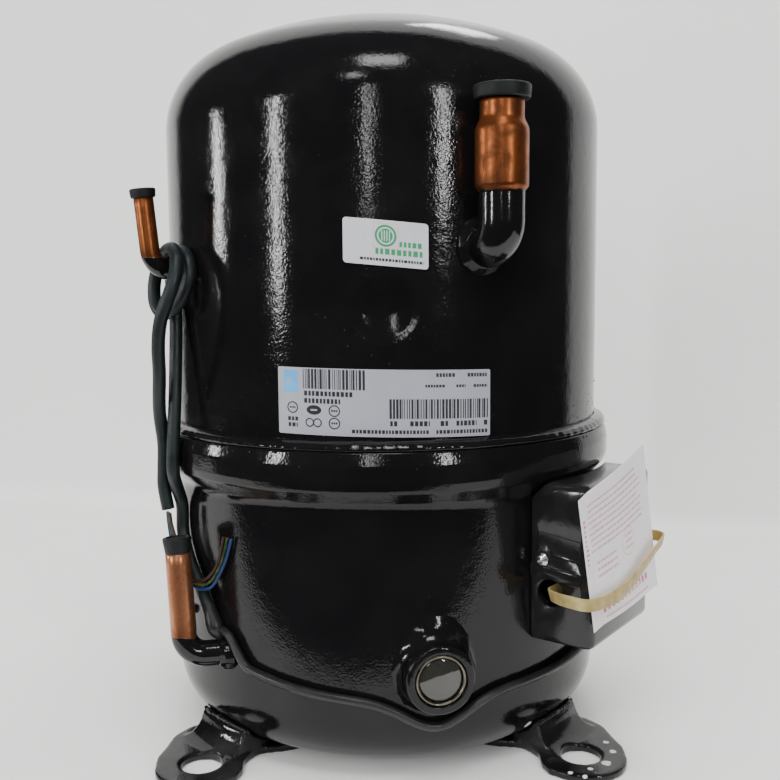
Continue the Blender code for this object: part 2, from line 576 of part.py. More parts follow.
outboard = [(9.4, 50), (16, 50), (16, 66), (36, 66), (36, 77.7), (9.4, 77.7)]
place("outboard_bearing", turned(outboard, 20, closed=True), IRON, PUMP)
MUFFLER = (-62.0, 30.0)
muffler = [(0, 86.3), (15, 86.3), (15, 121), (11, 125), (3.7, 125), (3.7, 104), (0, 104)]
place("discharge_muffler", turned(muffler, 14, Matrix.Translation((*MUFFLER, 0))), STEEL, PUMP)
into = (D_ENTRY - D_ELBOW).normalized()
shock = rounded([D_ROOT - into * 8, D_ROOT + into * 14, (-52, -82, 112), (-80, -45, 136), (-88, -2, 139),
                 (-80, 26, 140), (-62, 30, 141), (-62, 30, 112)], 11, 3)
place("shock_loop", pipe(shock, 3.2, None, 8), COPPER)

# ---- motor
place("stator_core", turned([(46.7, 205), (84, 205), (84, 300), (46.7, 300)], 30, closed=True), LAMINATION, PUMP)
coil_end = [(51, 0), (55, 26), (62, 31), (70, 26), (76, 10), (76, 0)]
place("winding_upper", turned([(r, 300.3 + z) for r, z in coil_end], 24, closed=True), ENAMEL, PUMP)
place("winding_lower", turned([(r, 204.7 - z) for r, z in coil_end], 24, closed=True), ENAMEL, PUMP)

CRANK = "crank_axis"
place("rotor", turned([(12.4, 208), (45.9, 208), (45.9, 298), (12.4, 298)], 30, closed=True), ALUMINIUM, CRANK)
half_ring = [(24.5, 197.4), (44, 197.4), (44, 207.7), (24.5, 207.7)]
place("counterweight", turned(half_ring, 14, turn_z(90), closed=True, sweep=180), IRON, CRANK)
shaft = [(48, 0, 0, 9), (92, 0, 0, 9), (92, 6, 0, 20), (105, 6, 0, 20), (105, THROW, 0, 11), (119, THROW, 0, 11),
         (119, 6, 0, 20), (134, 6, 0, 20), (134, 0, 0, 12), (302, 0, 0, 12)]
place("crankshaft", stack(shaft, 20), STEEL, CRANK)
place("oil_pickup", turned([(3.6, 12), (5.0, 12), (6.5, 30), (6.5, 47.7), (3.6, 47.7)], 12, closed=True), STEEL, CRANK)

# ---- connecting rod, wrist pin and piston
ROD = "crankpin_axis"
big = turned([(11.3, 106), (17, 106), (17, 118), (11.3, 118)], 18, Matrix.Translation((THROW, 0, 0)), closed=True)
con = place("connecting_rod", big, ALUMINIUM, ROD)
boolean(con, place("rod_shank", block(THROW + 14.0, WRIST_X - 5.5, -5, 5, 107, 117), None, cutter=True), "UNION")
eye = turned([(4.6, 106), (7.4, 106), (7.4, 118), (4.6, 118)], 14, Matrix.Translation((WRIST_X, 0, 0)), closed=True)
boolean(con, place("rod_eye", eye, None, cutter=True), "UNION")
pin_clear = rod(4.6, (WRIST_X, 0, 100), (WRIST_X, 0, 124), 14)
boolean(con, place("rod_eye_bore", pin_clear, None, cutter=True))
place("wrist_pin", rod(4.2, (WRIST_X, 0, CYL_Z - 11), (WRIST_X, 0, CYL_Z + 11), 14), STEEL, ROD)

PIS = Matrix.Translation((0, 0, CYL_Z)) @ Matrix.Rotation(math.radians(90), 4, "Y")
skirt = [(0, 87.7), (24.2, 87.7), (25.1, 86.9), (25.1, 57.2), (22.2, 57.2), (22.2, 83.2), (0, 83.2)]
place("piston", turned(skirt, 24, PIS), STEEL, "piston_axis")
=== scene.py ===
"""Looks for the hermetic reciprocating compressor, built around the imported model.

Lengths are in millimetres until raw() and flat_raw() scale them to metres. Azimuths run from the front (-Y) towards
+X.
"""
import json
import math

import bmesh
import bpy
from mathutils import Matrix, Vector, noise


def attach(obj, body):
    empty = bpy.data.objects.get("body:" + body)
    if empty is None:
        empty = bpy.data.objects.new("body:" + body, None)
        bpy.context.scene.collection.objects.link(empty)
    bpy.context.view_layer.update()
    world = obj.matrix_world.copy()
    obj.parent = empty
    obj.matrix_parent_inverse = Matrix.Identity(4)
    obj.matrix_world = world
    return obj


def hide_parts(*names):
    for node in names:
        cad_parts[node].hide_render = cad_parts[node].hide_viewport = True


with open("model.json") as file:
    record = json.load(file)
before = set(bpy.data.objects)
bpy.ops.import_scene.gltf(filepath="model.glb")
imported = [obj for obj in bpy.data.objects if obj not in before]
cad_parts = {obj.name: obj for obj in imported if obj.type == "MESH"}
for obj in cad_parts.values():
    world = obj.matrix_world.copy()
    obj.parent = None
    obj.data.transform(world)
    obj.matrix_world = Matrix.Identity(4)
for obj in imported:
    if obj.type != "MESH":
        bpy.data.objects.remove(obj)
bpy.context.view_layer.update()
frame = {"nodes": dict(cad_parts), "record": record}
NODES = frame["nodes"]

# ---- sizes shared with the part
SHELL_R, WALL, HEIGHT = 119.0, 3.8, 383.0
FILM_R = 119.35
FOOT_PITCH, FOOT_HOLE_R = 190.5, 10.2
SIGHT_AZ, SIGHT_Z = 9.7, 57.6
BOX_AZ, BOX_Z, BOX_W, BOX_H, BOX_FACE = 52.2, 105.0, 70.0, 80.0, 147.0
PAN_R, PAN_Z, PAN_FLAT_R = 28.0, 34.0, 56.0   # the pan's corner, its centre height, and the flat of the base
PAN_X = SHELL_R - PAN_R
ELBOW_AZ = -56.4   # the process stub's elbow, which the cable is looped round


# ================================================================ geometry helpers
def turn_z(az):
    return Matrix.Rotation(math.radians(az), 4, "Z")


def outward(az, z):
    """Local +Z runs out from the axis at this azimuth and height, and local +Y runs up."""
    return turn_z(az) @ Matrix.Translation((0, 0, z)) @ Matrix.Rotation(math.radians(90), 4, "X")


def at(az, r, z):
    a = math.radians(az)
    return Vector((r * math.sin(a), -r * math.cos(a), z))


def arc(cx, cy, r, a0, a1, n):
    return [(cx + r * math.cos(math.radians(a0 + (a1 - a0) * i / n)),
             cy + r * math.sin(math.radians(a0 + (a1 - a0) * i / n))) for i in range(n + 1)]


def ease(t):
    t = min(max(t, 0.0), 1.0)
    return t * t * (3 - 2 * t)


def fillet(corners, steps=5, closed=False):
    """Round each (x, y, radius) corner of a flat outline; a corner without a radius stays sharp."""
    n, out = len(corners), []
    for i, c in enumerate(corners):
        p = Vector(c[:2])
        if len(c) < 3 or (not closed and i in (0, n - 1)):
            out.append(tuple(p))
            continue
        a, b = Vector(corners[i - 1][:2]), Vector(corners[(i + 1) % n][:2])
        u, v = (a - p), (b - p)
        half = u.angle(v) / 2
        if half > math.radians(89):
            out.append(tuple(p))
            continue
        reach = min(c[2] / math.tan(half), 0.48 * u.length, 0.48 * v.length)
        r = reach * math.tan(half)
        mid = p + (u.normalized() + v.normalized()).normalized() * (r / math.sin(half))
        s, e = p + u.normalized() * reach - mid, p + v.normalized() * reach - mid
        out += [tuple(mid + s.lerp(e, k / steps).normalized() * r) for k in range(steps + 1)]
    return out


def bend_path(corners, radius, steps=8):
    """A polyline in space with its corners turned into arcs."""
    pts = [Vector(p) for p in corners]
    out = [pts[0]]
    for a, p, b in zip(pts, pts[1:], pts[2:]):
        u, v = (a - p).normalized(), (b - p).normalized()
        half = u.angle(v) / 2
        reach = min(radius / math.tan(half), 0.49 * (a - p).length, 0.49 * (b - p).length)
        r = reach * math.tan(half)
        mid = p + (u + v).normalized() * (r / math.sin(half))
        s, e = p + u * reach - mid, p + v * reach - mid
        out += [mid + s.lerp(e, i / steps).normalized() * r for i in range(steps + 1)]
    return out + [pts[-1]]


def smooth_path(knots, per=6, closed=False):
    k = [Vector(p) for p in knots]
    n = len(k)
    out = []
    for i in range(n if closed else n - 1):
        a, b, c, d = (k[(i - 1) % n] if closed or i else k[0], k[i], k[(i + 1) % n],
                      k[(i + 2) % n] if closed or i < n - 2 else k[-1])
        for j in range(per):
            t = j / per
            out.append(0.5 * (2 * b + (c - a) * t + (2 * a - 5 * b + 4 * c - d) * t * t
                              + (3 * b - a - 3 * c + d) * t ** 3))
    return out if closed else out + [k[-1]]


def revolve(profile, azimuths=128, matrix=None, closed=False, shape=None):
    """Turn a profile of (radius, height) about +Z; azimuths is a count or a list, and shape moves points."""
    if isinstance(azimuths, int):
        azimuths = [360 * i / azimuths for i in range(azimuths)]
    bm = bmesh.new()
    rings = []
    for r, z in profile:
        if r < 1e-6:
            rings.append([bm.verts.new((0, 0, z))])
            continue
        ring = []
        for a in azimuths:
            p = at(a, r, z)
            ring.append(bm.verts.new(shape(p, a, r, z) if shape else p))
        rings.append(ring)
    pairs = list(zip(rings, rings[1:])) + ([(rings[-1], rings[0])] if closed else [])
    n = len(azimuths)
    for a, b in pairs:
        for j in range(n):
            k = (j + 1) % n
            quad = [a[j % len(a)], a[k % len(a)], b[k % len(b)], b[j % len(b)]]
            uniq = list(dict.fromkeys(quad))
            if len(uniq) > 2:
                bm.faces.new(uniq)
    if matrix:
        bmesh.ops.transform(bm, matrix=matrix, verts=bm.verts)
    return bm


def tube(path, radius, bore=None, seg=40, closed=False, section=None, rim=0.0):
    """Sweep a round section, or one given as (side, up) offsets, along a path."""
    pts = [Vector(p) for p in path]
    n = len(pts)
    radii = radius if isinstance(radius, list) else [radius] * n
    ts = []
    for i in range(n):
        a = pts[(i - 1) % n] if closed or i else pts[0]
        b = pts[(i + 1) % n] if closed or i < n - 1 else pts[-1]
        ts.append((b - a).normalized())
    side = ts[0].orthogonal().normalized()
    bm = bmesh.new()

    def ring(i, r):
        s = sides[i]
        up = ts[i].cross(s)
        if section:
            return [bm.verts.new(pts[i] + s * (x * r) + up * (y * r)) for x, y in section]
        return [bm.verts.new(pts[i] + (s * math.cos(k) + up * math.sin(k)) * r)
                for k in (2 * math.pi * j / seg for j in range(seg))]

    sides = []
    for t in ts:
        side = (side - t * side.dot(t)).normalized()
        sides.append(side.copy())
    rings = [ring(i, radii[i]) for i in range(n)]
    if bore:
        if rim:
            last = pts[-1] + ts[-1] * rim
            pts.append(last), ts.append(ts[-1]), sides.append(sides[-1])
            rings.append(ring(n, radii[-1] - rim))
            rings.append(ring(n, bore + rim))
            pts[-1] = pts[n - 1]
            rings.append(ring(n, bore))
        rings += [ring(i, bore) for i in range(n - 1 if rim else n - 1, -1, -1)]
        if rim:
            pts.pop(), ts.pop(), sides.pop()
    m = len(rings[0])
    loop = list(zip(rings, rings[1:])) + ([(rings[-1], rings[0])] if closed or bore else [])
    for a, b in loop:
        for j in range(m):
            bm.faces.new((a[j], a[(j + 1) % m], b[(j + 1) % m], b[j]))
    if not (closed or bore):
        bm.faces.new(rings[0]), bm.faces.new(rings[-1])
    return bm


def prism(outline, z0, z1, matrix=None):
    bm = bmesh.new()
    f = bm.faces.new([bm.verts.new((x, y, z0)) for x, y in outline])
    out = bmesh.ops.extrude_face_region(bm, geom=[f])
    top = [g for g in out["geom"] if isinstance(g, bmesh.types.BMVert)]
    bmesh.ops.translate(bm, vec=(0, 0, z1 - z0), verts=top)
    if matrix:
        bmesh.ops.transform(bm, matrix=matrix, verts=bm.verts)
    return bm


def block(x0, x1, y0, y1, z0, z1, matrix=None):
    return prism([(x0, y0), (x1, y0), (x1, y1), (x0, y1)], z0, z1, matrix)


def raw(name, bm, sharp=35.0):
    """A plain object of a millimetre mesh, scaled to metres, closed meshes facing out."""
    bmesh.ops.remove_doubles(bm, verts=bm.verts, dist=0.001)
    bmesh.ops.recalc_face_normals(bm, faces=bm.faces)
    if bm.calc_volume(signed=True) < 0:
        bmesh.ops.reverse_faces(bm, faces=bm.faces)
    bmesh.ops.transform(bm, matrix=Matrix.Scale(0.001, 4), verts=bm.verts)
    me = bpy.data.meshes.new(name)
    bm.to_mesh(me)
    bm.free()
    me.shade_smooth()
    me.set_sharp_from_angle(angle=math.radians(sharp))
    ob = bpy.data.objects.new(name, me)
    bpy.context.scene.collection.objects.link(ob)
    return ob


def modify(ob, kind, **settings):
    m = ob.modifiers.new(kind.lower(), kind)
    for k, v in settings.items():
        setattr(m, k, v)
    return m


def settle(ob, sharp=35.0, drop=()):
    """Apply the object's modifiers and throw the tools away."""
    graph = bpy.context.evaluated_depsgraph_get()
    me = bpy.data.meshes.new_from_object(ob.evaluated_get(graph))
    ob.modifiers.clear()
    ob.data = me
    me.shade_smooth()
    me.set_sharp_from_angle(angle=math.radians(sharp))
    for tool in drop:
        bpy.data.objects.remove(tool, do_unlink=True)
    return ob


def piece(ob, look, body, stands_for=()):
    """Finish a piece: its material, the body that it rides on, and the CAD nodes that it stands for."""
    looks = look if isinstance(look, (list, tuple)) else [look]
    if not ob.data.materials:
        for m in looks:
            ob.data.materials.append(m)
    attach(ob, body)
    if stands_for:
        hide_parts(*([stands_for] if isinstance(stands_for, str) else stands_for))
    return ob


# ================================================================ material helpers
class Look:
    """One Principled material whose patterns are laid out in millimetres of the object's own frame."""

    def __init__(self, name, color=(0.5, 0.5, 0.5), rough=0.5, metal=0.0, **more):
        self.m = bpy.data.materials.new(name)
        self.m.use_nodes = True
        self.tree = self.m.node_tree
        self.shader = self.tree.nodes["Principled BSDF"]
        self.set("Base Color", (*color, 1.0))
        self.set("Roughness", rough)
        self.set("Metallic", metal)
        for k, v in more.items():
            self.set(k.replace("_", " ").title().replace("Ior", "IOR"), v)
        self.m.diffuse_color = (*color, 1.0)
        coord = self.tree.nodes.new("ShaderNodeTexCoord")
        self.mm = self.node("ShaderNodeVectorMath", {0: coord.outputs["Object"], "Scale": 1000.0},
                            operation="SCALE").outputs[0]

    def set(self, socket, value):
        if isinstance(value, bpy.types.NodeSocket):
            self.tree.links.new(value, self.shader.inputs[socket])
        else:
            self.shader.inputs[socket].default_value = value

    def node(self, kind, inputs=None, **props):
        n = self.tree.nodes.new(kind)
        for k, v in props.items():
            setattr(n, k, v)
        for k, v in (inputs or {}).items():
            if isinstance(v, bpy.types.NodeSocket):
                self.tree.links.new(v, n.inputs[k])
            else:
                n.inputs[k].default_value = v
        return n

    def noise(self, per_mm, detail=3.0, rough=0.5, vec=None, warp=0.0):
        return self.node("ShaderNodeTexNoise", {"Vector": vec or self.mm, "Scale": per_mm, "Detail": detail,
                                                "Roughness": rough, "Distortion": warp}).outputs["Fac"]

    def cells(self, per_mm, feature="F1", vec=None, spread=1.0):
        return self.node("ShaderNodeTexVoronoi", {"Vector": vec or self.mm, "Scale": per_mm, "Randomness": spread},
                         feature=feature).outputs["Distance"]

    def stretched(self, x, y, z):
        return self.node("ShaderNodeVectorMath", {0: self.mm, 1: (x, y, z)}, operation="MULTIPLY").outputs[0]

    def axis(self, i, vec=None):
        return self.node("ShaderNodeSeparateXYZ", {0: vec or self.mm}).outputs[i]

    def math(self, op, a, b=0.0, c=0.0):
        return self.node("ShaderNodeMath", {0: a, 1: b, 2: c}, operation=op).outputs[0]

    def span(self, value, lo, hi, out_lo=0.0, out_hi=1.0):
        return self.node("ShaderNodeMapRange", {0: value, 1: lo, 2: hi, 3: out_lo, 4: out_hi}).outputs[0]

    def near(self, point, inner, outer):
        """1 within inner millimetres of a point, falling to 0 at outer."""
        d = self.node("ShaderNodeVectorMath", {0: self.mm, 1: tuple(point)}, operation="DISTANCE").outputs["Value"]
        return self.span(d, outer, inner)

    def mix(self, fac, a, b):
        n = self.node("ShaderNodeMix", data_type="RGBA")
        for i, v in ((0, fac), (6, a), (7, b)):
            if isinstance(v, bpy.types.NodeSocket):
                self.tree.links.new(v, n.inputs[i])
            else:
                n.inputs[i].default_value = (*v, 1.0) if i and len(v) == 3 else v
        return n.outputs[2]

    def bump(self, height, mm, normal=None, strength=1.0):
        ins = {"Height": height, "Distance": mm * 0.001, "Strength": strength}
        if normal:
            ins["Normal"] = normal
        return self.node("ShaderNodeBump", ins).outputs["Normal"]


BLACK = (0.0050, 0.0046, 0.0052)


def paint_bump(k, amount=1.0):
    fine = k.bump(k.noise(0.95, 2.0, 0.45), 0.066 * amount)
    return k.bump(k.noise(0.16, 1.0), 0.09 * amount, fine)


def paint(name, amount=1.0, chips=None, dust=0.05):
    """Thick sprayed gloss black: orange peel, faint dust, and a few chips down to the pale primer."""
    k = Look(name, BLACK, 0.09, Specular_Ior_Level=0.33)
    specks = k.math("MULTIPLY", k.span(k.cells(0.23), 0.075, 0.05), k.span(k.noise(0.02), 0.50, 0.62))
    haze = k.span(k.noise(0.03, 4.0, 0.6), 0.45, 0.75, 0.0, dust)
    color = k.mix(k.math("MAXIMUM", k.math("MULTIPLY", specks, 0.6), haze), BLACK, (0.075, 0.072, 0.070))
    rough = k.span(k.noise(0.05, 5.0, 0.65), 0.30, 0.75, 0.045, 0.14)
    if chips:
        mask = None
        for point, size in chips:
            one = k.near(point, size, size + 0.8)
            mask = one if mask is None else k.math("MAXIMUM", mask, one)
        ragged = k.math("GREATER_THAN", k.math("ADD", mask, k.span(k.noise(0.35, 4.0, 0.7), 0.3, 0.7, -0.55, 0.55)),
                        0.72)
        color = k.mix(ragged, color, (0.62, 0.62, 0.60))
        rough = k.math("MAXIMUM", rough, k.math("MULTIPLY", ragged, 0.6))
    k.set("Base Color", color)
    k.set("Roughness", rough)
    k.set("Normal", paint_bump(k, amount))
    return k.m


def copper(name, edge_z, rise, fresh, aged):
    """Bare copper above a ragged paint line, with drawing marks, tarnish and a heat-tinted foot."""
    k = Look(name, (0.45, 0.16, 0.06), 0.34)
    z = k.axis(2)
    wave = k.math("ADD", z, k.span(k.noise(0.13, 3.0), 0.2, 0.8, -rise, rise))
    bare = k.span(wave, edge_z - 0.25, edge_z + 0.25)
    marks = k.noise(0.9, 3.0, 0.6, k.stretched(1.0, 1.0, 0.07))
    blotch = k.noise(0.085, 5.0, 0.62, warp=0.6)
    tarnish = k.span(blotch, 0.40, 0.66)
    metal = k.mix(tarnish, fresh, aged)
    metal = k.mix(k.math("MULTIPLY", k.span(marks, 0.45, 0.75), 0.25), metal, (0.38, 0.14, 0.048))
    tint = k.math("MULTIPLY", k.span(wave, edge_z + 9.0, edge_z + 0.5), 0.55)
    metal = k.mix(tint, metal, (0.13, 0.040, 0.016))
    spots = k.math("MULTIPLY", k.span(k.cells(0.35), 0.22, 0.12), k.span(k.noise(0.06), 0.5, 0.65))
    metal = k.mix(k.math("MULTIPLY", spots, 0.6), metal, (0.10, 0.04, 0.02))
    k.set("Base Color", k.mix(bare, BLACK, metal))
    k.set("Metallic", k.math("MULTIPLY", bare, 0.88))
    k.set("Roughness", k.mix(bare, (0.12, 0.12, 0.12), k.mix(tarnish, (0.30, 0.30, 0.30), (0.48, 0.48, 0.48))))
    height = k.math("ADD", k.math("MULTIPLY", marks, 0.12), k.math("MULTIPLY", k.math("SUBTRACT", 1.0, bare), 1.0))
    k.set("Normal", k.bump(height, 0.10, paint_bump(k, 0.5)))
    return k.m


def rubber(name, color, rough=0.62, grain=0.9, depth=0.06, scuff=0.5):
    k = Look(name, color, rough)
    wear = k.span(k.noise(0.16, 5.0, 0.6), 0.42, 0.75)
    pale = tuple(min(1.0, c * 1.9 + 0.003) for c in color)
    k.set("Base Color", k.mix(k.math("MULTIPLY", wear, scuff), color, pale))
    k.set("Roughness", k.span(wear, 0.0, 1.0, rough - 0.10, rough + 0.14))
    k.set("Normal", k.bump(k.noise(grain, 4.0, 0.6), depth))
    return k.m


def metal(name, color, rough, along=(1.0, 1.0, 1.0), per_mm=0.8, depth=0.03, stain=(0.5, 0.5, 0.5), amount=0.3):
    k = Look(name, color, rough, 1.0)
    lines = k.noise(per_mm, 4.0, 0.6, k.stretched(*along))
    blot = k.span(k.noise(0.06, 4.0), 0.45, 0.7)
    dark = tuple(c * s for c, s in zip(color, stain))
    k.set("Base Color", k.mix(k.math("MULTIPLY", blot, amount), color, dark))
    k.set("Roughness", k.span(lines, 0.3, 0.7, rough - 0.08, rough + 0.12))
    k.set("Normal", k.bump(lines, depth))
    return k.m


def casting(name, color, rough=0.62, metallic=0.6):
    k = Look(name, color, rough, metallic)
    skin = k.noise(0.8, 6.0, 0.7)
    k.set("Base Color", k.mix(k.span(skin, 0.35, 0.7), tuple(c * 0.6 for c in color),
                              tuple(c * 1.3 for c in color)))
    k.set("Normal", k.bump(skin, 0.25))
    return k.m


def plain(name, color, rough, grain=1.2, depth=0.02, shade=0.8, **more):
    """A moulded or printed surface with slight unevenness of tone and a fine grain."""
    k = Look(name, color, rough, **more)
    k.set("Base Color", k.mix(k.span(k.noise(0.12, 4.0), 0.35, 0.7), color, tuple(c * shade for c in color)))
    k.set("Roughness", k.span(k.noise(0.3, 3.0), 0.3, 0.7, rough * 0.85, min(1.0, rough * 1.2)))
    k.set("Normal", k.bump(k.noise(grain, 3.0), depth))
    return k.m


PLATE_TOP = 4.0
chip_spots = [(at(45, 149.5, 4.2), 2.2), (at(50, 146, 4.2), 1.5), (at(38, 150, 4.2), 1.4),
              (at(47, 121.5, 4.4), 1.5),
              (at(41, 147, 4.2), 1.0), (at(53, 139, 4.0), 1.2), (at(44, 154, 2.0), 1.8), (at(37, 143, 4.2), 0.9)]
shell_chips = [(at(37.5, 113.0, 18.0), 2.0), (at(27.5, 113.5, 20.0), 1.1), (at(36.0, 115.8, 26.0), 1.2),
               (at(43.0, 111.0, 14.0), 1.0)]
PAINT = paint("gloss_paint_upper")
PAINT_LOW = paint("gloss_paint_lower", chips=shell_chips)
PAINT_FOOT = paint("gloss_paint_foot", 0.9, chips=chip_spots, dust=0.3)
PAINT_SMALL = paint("gloss_paint_fittings", 0.7)
PLUG = rubber("plug_rubber_look", (0.003, 0.004, 0.004))
SHEATH = rubber("sheath_look", (0.007, 0.011, 0.012), 0.50, 0.5, 0.04, 0.4)
BELT = rubber("heater_rubber_look", (0.010, 0.010, 0.011), 0.42, 0.7, 0.05, 0.3)
SUCTION_COPPER = copper("copper_suction", 281.5, 1.2, (0.36, 0.105, 0.031), (0.13, 0.043, 0.016))
PROCESS_COPPER = copper("copper_process", 254.5, 1.0, (0.36, 0.110, 0.035), (0.13, 0.043, 0.016))
DISCHARGE_COPPER = copper("copper_discharge", 67.0, 1.4, (0.50, 0.215, 0.110), (0.27, 0.085, 0.040))
EYELET = metal("eyelet_metal", (0.22, 0.20, 0.155), 0.30, depth=0.05)
ZINC = metal("bright_zinc", (0.78, 0.79, 0.82), 0.24, depth=0.02, amount=0.15)
STEEL = metal("ground_steel", (0.55, 0.55, 0.56), 0.30, (1, 1, 0.06), 1.5)
BLUE = plain("blue_insulation", (0.007, 0.032, 0.11), 0.35)
BROWN = plain("brown_insulation", (0.035, 0.016, 0.010), 0.38)


def earth_look():
    k = Look("earth_insulation", (0.25, 0.4, 0.06), 0.38)
    k.set("Base Color", k.mix(k.math("GREATER_THAN", k.noise(0.32, 0.0), 0.5), (0.006, 0.03, 0.010),
                              (0.055, 0.052, 0.008)))
    k.set("Normal", k.bump(k.noise(1.5), 0.02))
    return k.m


EARTH = earth_look()

# ================================================================ camera
eye = Matrix.Translation(Vector((-14.4, -563.4, 240.3)) * 0.001)
aim = Matrix.Rotation(math.radians(-1.8), 4, "Z") @ Matrix.Rotation(math.radians(90 - 6.14), 4, "X")
cam_data = bpy.data.cameras.new("camera")
cam_data.lens, cam_data.sensor_width, cam_data.clip_start = 45.1, 36.0, 0.01
cam = bpy.data.objects.new("camera", cam_data)
cam.matrix_world = eye @ aim @ Matrix.Rotation(-0.008, 4, "Z")
bpy.context.scene.collection.objects.link(cam)
bpy.context.scene.camera = cam


# ================================================================ heater cable and its wires
def by_elbow(across, r, z):
    return turn_z(ELBOW_AZ) @ Vector((across, -r, z))


CABLE = [at(-47, 122.9, 74), at(-51, 122.8, 86), at(-57, 122.8, 99), at(-61, 122.8, 112), at(-61, 122.9, 127),
         at(-59, 127, 138), at(-57, 130.4, 147), at(-56.6, 130.4, 160), at(-57.6, 128, 180), at(-59.3, 125.2, 205),
         at(-61.5, 122.9, 228), by_elbow(-14.8, 122.6, 244), by_elbow(-11.4, 122.6, 254.4),
         by_elbow(-2.5, 122.6, 258.1), by_elbow(6.4, 122.7, 254.2), by_elbow(10, 123.8, 245.5),
         by_elbow(7.6, 126, 236), by_elbow(1.2, 128.8, 229), by_elbow(-7, 131.2, 227), by_elbow(-13.2, 132.2, 232),
         by_elbow(-14.6, 131.8, 241.5), by_elbow(-11.2, 130.6, 251), by_elbow(-3.6, 129.8, 257.6),
         by_elbow(5.6, 130, 258.6), by_elbow(13, 131.3, 253.6), by_elbow(16.3, 134, 244.5),
         by_elbow(15.5, 137.5, 234.5), by_elbow(12, 140, 224), by_elbow(7.5, 139.8, 212), by_elbow(2, 137.5, 197),
         by_elbow(-7, 134.4, 178), at(-61.1, 131.6, 160), at(-61.4, 131.8, 147), at(-61.4, 132.0, 138),
         at(-60.8, 130.6, 126)]


def wire_route(off):
    return [at(-60.8 + off * 0.45, 130.4, 124.2), at(-60.6 + off * 0.6, 130.0, 118),
            at(-59.5 + off * 0.7, 129.2, 110 + off), at(-57.5 + off * 0.4, 128.4, 104 + off),
            at(-54.8 + off * 0.4, 127.8, 97 + off), at(-50.5, 127.3, 91.5 + off),
            at(-46.8 - off * 0.4, 124.2, 93 + off), at(-43.5 - off * 0.6, 121.8, 104),
            at(-41.6 - off * 0.7, 120.8, 117)]


route = smooth_path(CABLE, 8)
cable = piece(raw("heater_cable_sheath", tube(route, 3.3, seg=20)), SHEATH, "shell", "heater_cable")
cores = []
for tag, off, look, slot in (("blue", -1.9, BLUE, "blue_wire"), ("earth", 0.0, EARTH, "green_yellow_wire"),
                             ("brown", 1.9, BROWN, "brown_wire")):
    w = smooth_path(wire_route(off), 8)
    core = piece(raw(f"{tag}_core", tube(w, 0.8, seg=12)), look, "shell", f"wire_{tag}")
    cores.append((core, w))
for core, w in cores:
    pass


# ================================================================ shell
def crown(inset, n):
    rc, rs, r = 45.0 - inset, 227.0 - inset, SHELL_R - inset
    cz = HEIGHT - inset - rs + math.sqrt((rs - rc) ** 2 - (r - rc) ** 2)
    joint = math.degrees(math.atan2(cz - (HEIGHT - inset - rs), r - rc))
    dome = arc(0, HEIGHT - inset - rs, rs, 90, joint, n)
    dome[0] = (0, HEIGHT - inset)
    return dome + arc(r - rc, cz, rc, joint, 0, n)[1:]


def spread(lo, hi, step):
    n = max(1, round((hi - lo) / step))
    return [lo + (hi - lo) * i / n for i in range(n)]


DIMPLE_AZ, DIMPLE_Z = -0.8, 228.7


def dented(p, az, r, z):
    """The pressed dimple: a dish with a soft shoulder."""
    if r < 110 or abs(z - DIMPLE_Z) > 20:
        return p
    a = (az - DIMPLE_AZ + 180) % 360 - 180
    rho = math.hypot(math.radians(a) * SHELL_R, z - DIMPLE_Z)
    if rho > 18:
        return p
    depth = 3.1 * (1 - (rho / 14.0) ** 2) if rho < 12.2 else 0.0
    edge = 3.1 * (1 - (12.2 / 14.0) ** 2)
    if rho >= 12.2:
        depth = edge * (1 - ease((rho - 12.2) / 4.2))
    return at(az, r - depth, z)


fine = spread(-9.8, 8.2, 0.42)
around = fine + spread(8.2, 350.2, 1.5)
crown_out = crown(0, 20)
wall_rows = [z for z in spread(250, crown_out[-1][1] - 4, 5)][::-1] + spread(211, 250, 0.85)[::-1] + \
    [z for z in spread(150, 211, 6)][::-1]
upper = crown_out + [(SHELL_R, z) for z in wall_rows] + [(SHELL_R - WALL, 150)] + \
    [(SHELL_R - WALL, z) for z in wall_rows[::-1]] + crown(WALL, 6)[::-1]
piece(raw("upper_shell_skin", revolve(upper, around, shape=dented), 50), PAINT, "shell", "upper_shell")


def pan(inset, n):
    """The pan's section up to its vertical wall, moved in by inset."""
    d = math.hypot(PAN_X - PAN_FLAT_R, PAN_Z)
    slope = math.degrees(math.atan2(PAN_Z, PAN_X - PAN_FLAT_R) - math.asin(PAN_R / d))
    flat = PAN_FLAT_R - inset * math.tan(math.radians(slope / 2))
    return [(0, inset), (flat - 6, inset), (flat, inset)] + arc(PAN_X, PAN_Z, PAN_R - inset, slope - 90, 0, n)


collar = fillet([(SHELL_R, 100), (SHELL_R, 137.5, 9), (125.4, 145.5, 5), (126.3, 149.5, 5), (126.2, 158, 6),
                 (124.6, 164.5, 1.5), (FILM_R, 164.5), (FILM_R, 149.6), (SHELL_R - WALL, 149.6)], 6)
lower = pan(0, 14) + [(SHELL_R, z) for z in spread(40, 100, 10)] + collar + pan(WALL, 8)[::-1]
piece(raw("lower_shell_skin", revolve(lower, 256), 50), PAINT_LOW, "shell", "lower_shell")


def rippled(p, az, r, z):
    """Weld bead: overlapping ripples, uneven width and a little slump."""
    if r < 119.6:
        return p
    ripple = math.sin(math.radians(az) * 118 + 2.2 * noise.noise(p * 0.06))
    push = 0.10 * ripple + 0.25 * noise.noise(p * 0.10)
    return at(az, r + push * min(1.0, (r - 119.5) / 3), z + 0.22 * noise.noise(p * 0.17 + Vector((9, 0, 0))))


bead = fillet([(119.2, 164.6), (124.6, 164.6, 0.8), (124.9, 166.0, 1.2), (123.4, 167.9, 1.6), (120.9, 169.0, 1.4),
               (119.2, 169.3)], 4)
piece(raw("seam_weld_bead", revolve(bead, 900, closed=True, shape=rippled), 80), PAINT_SMALL, "shell", "seam_weld")


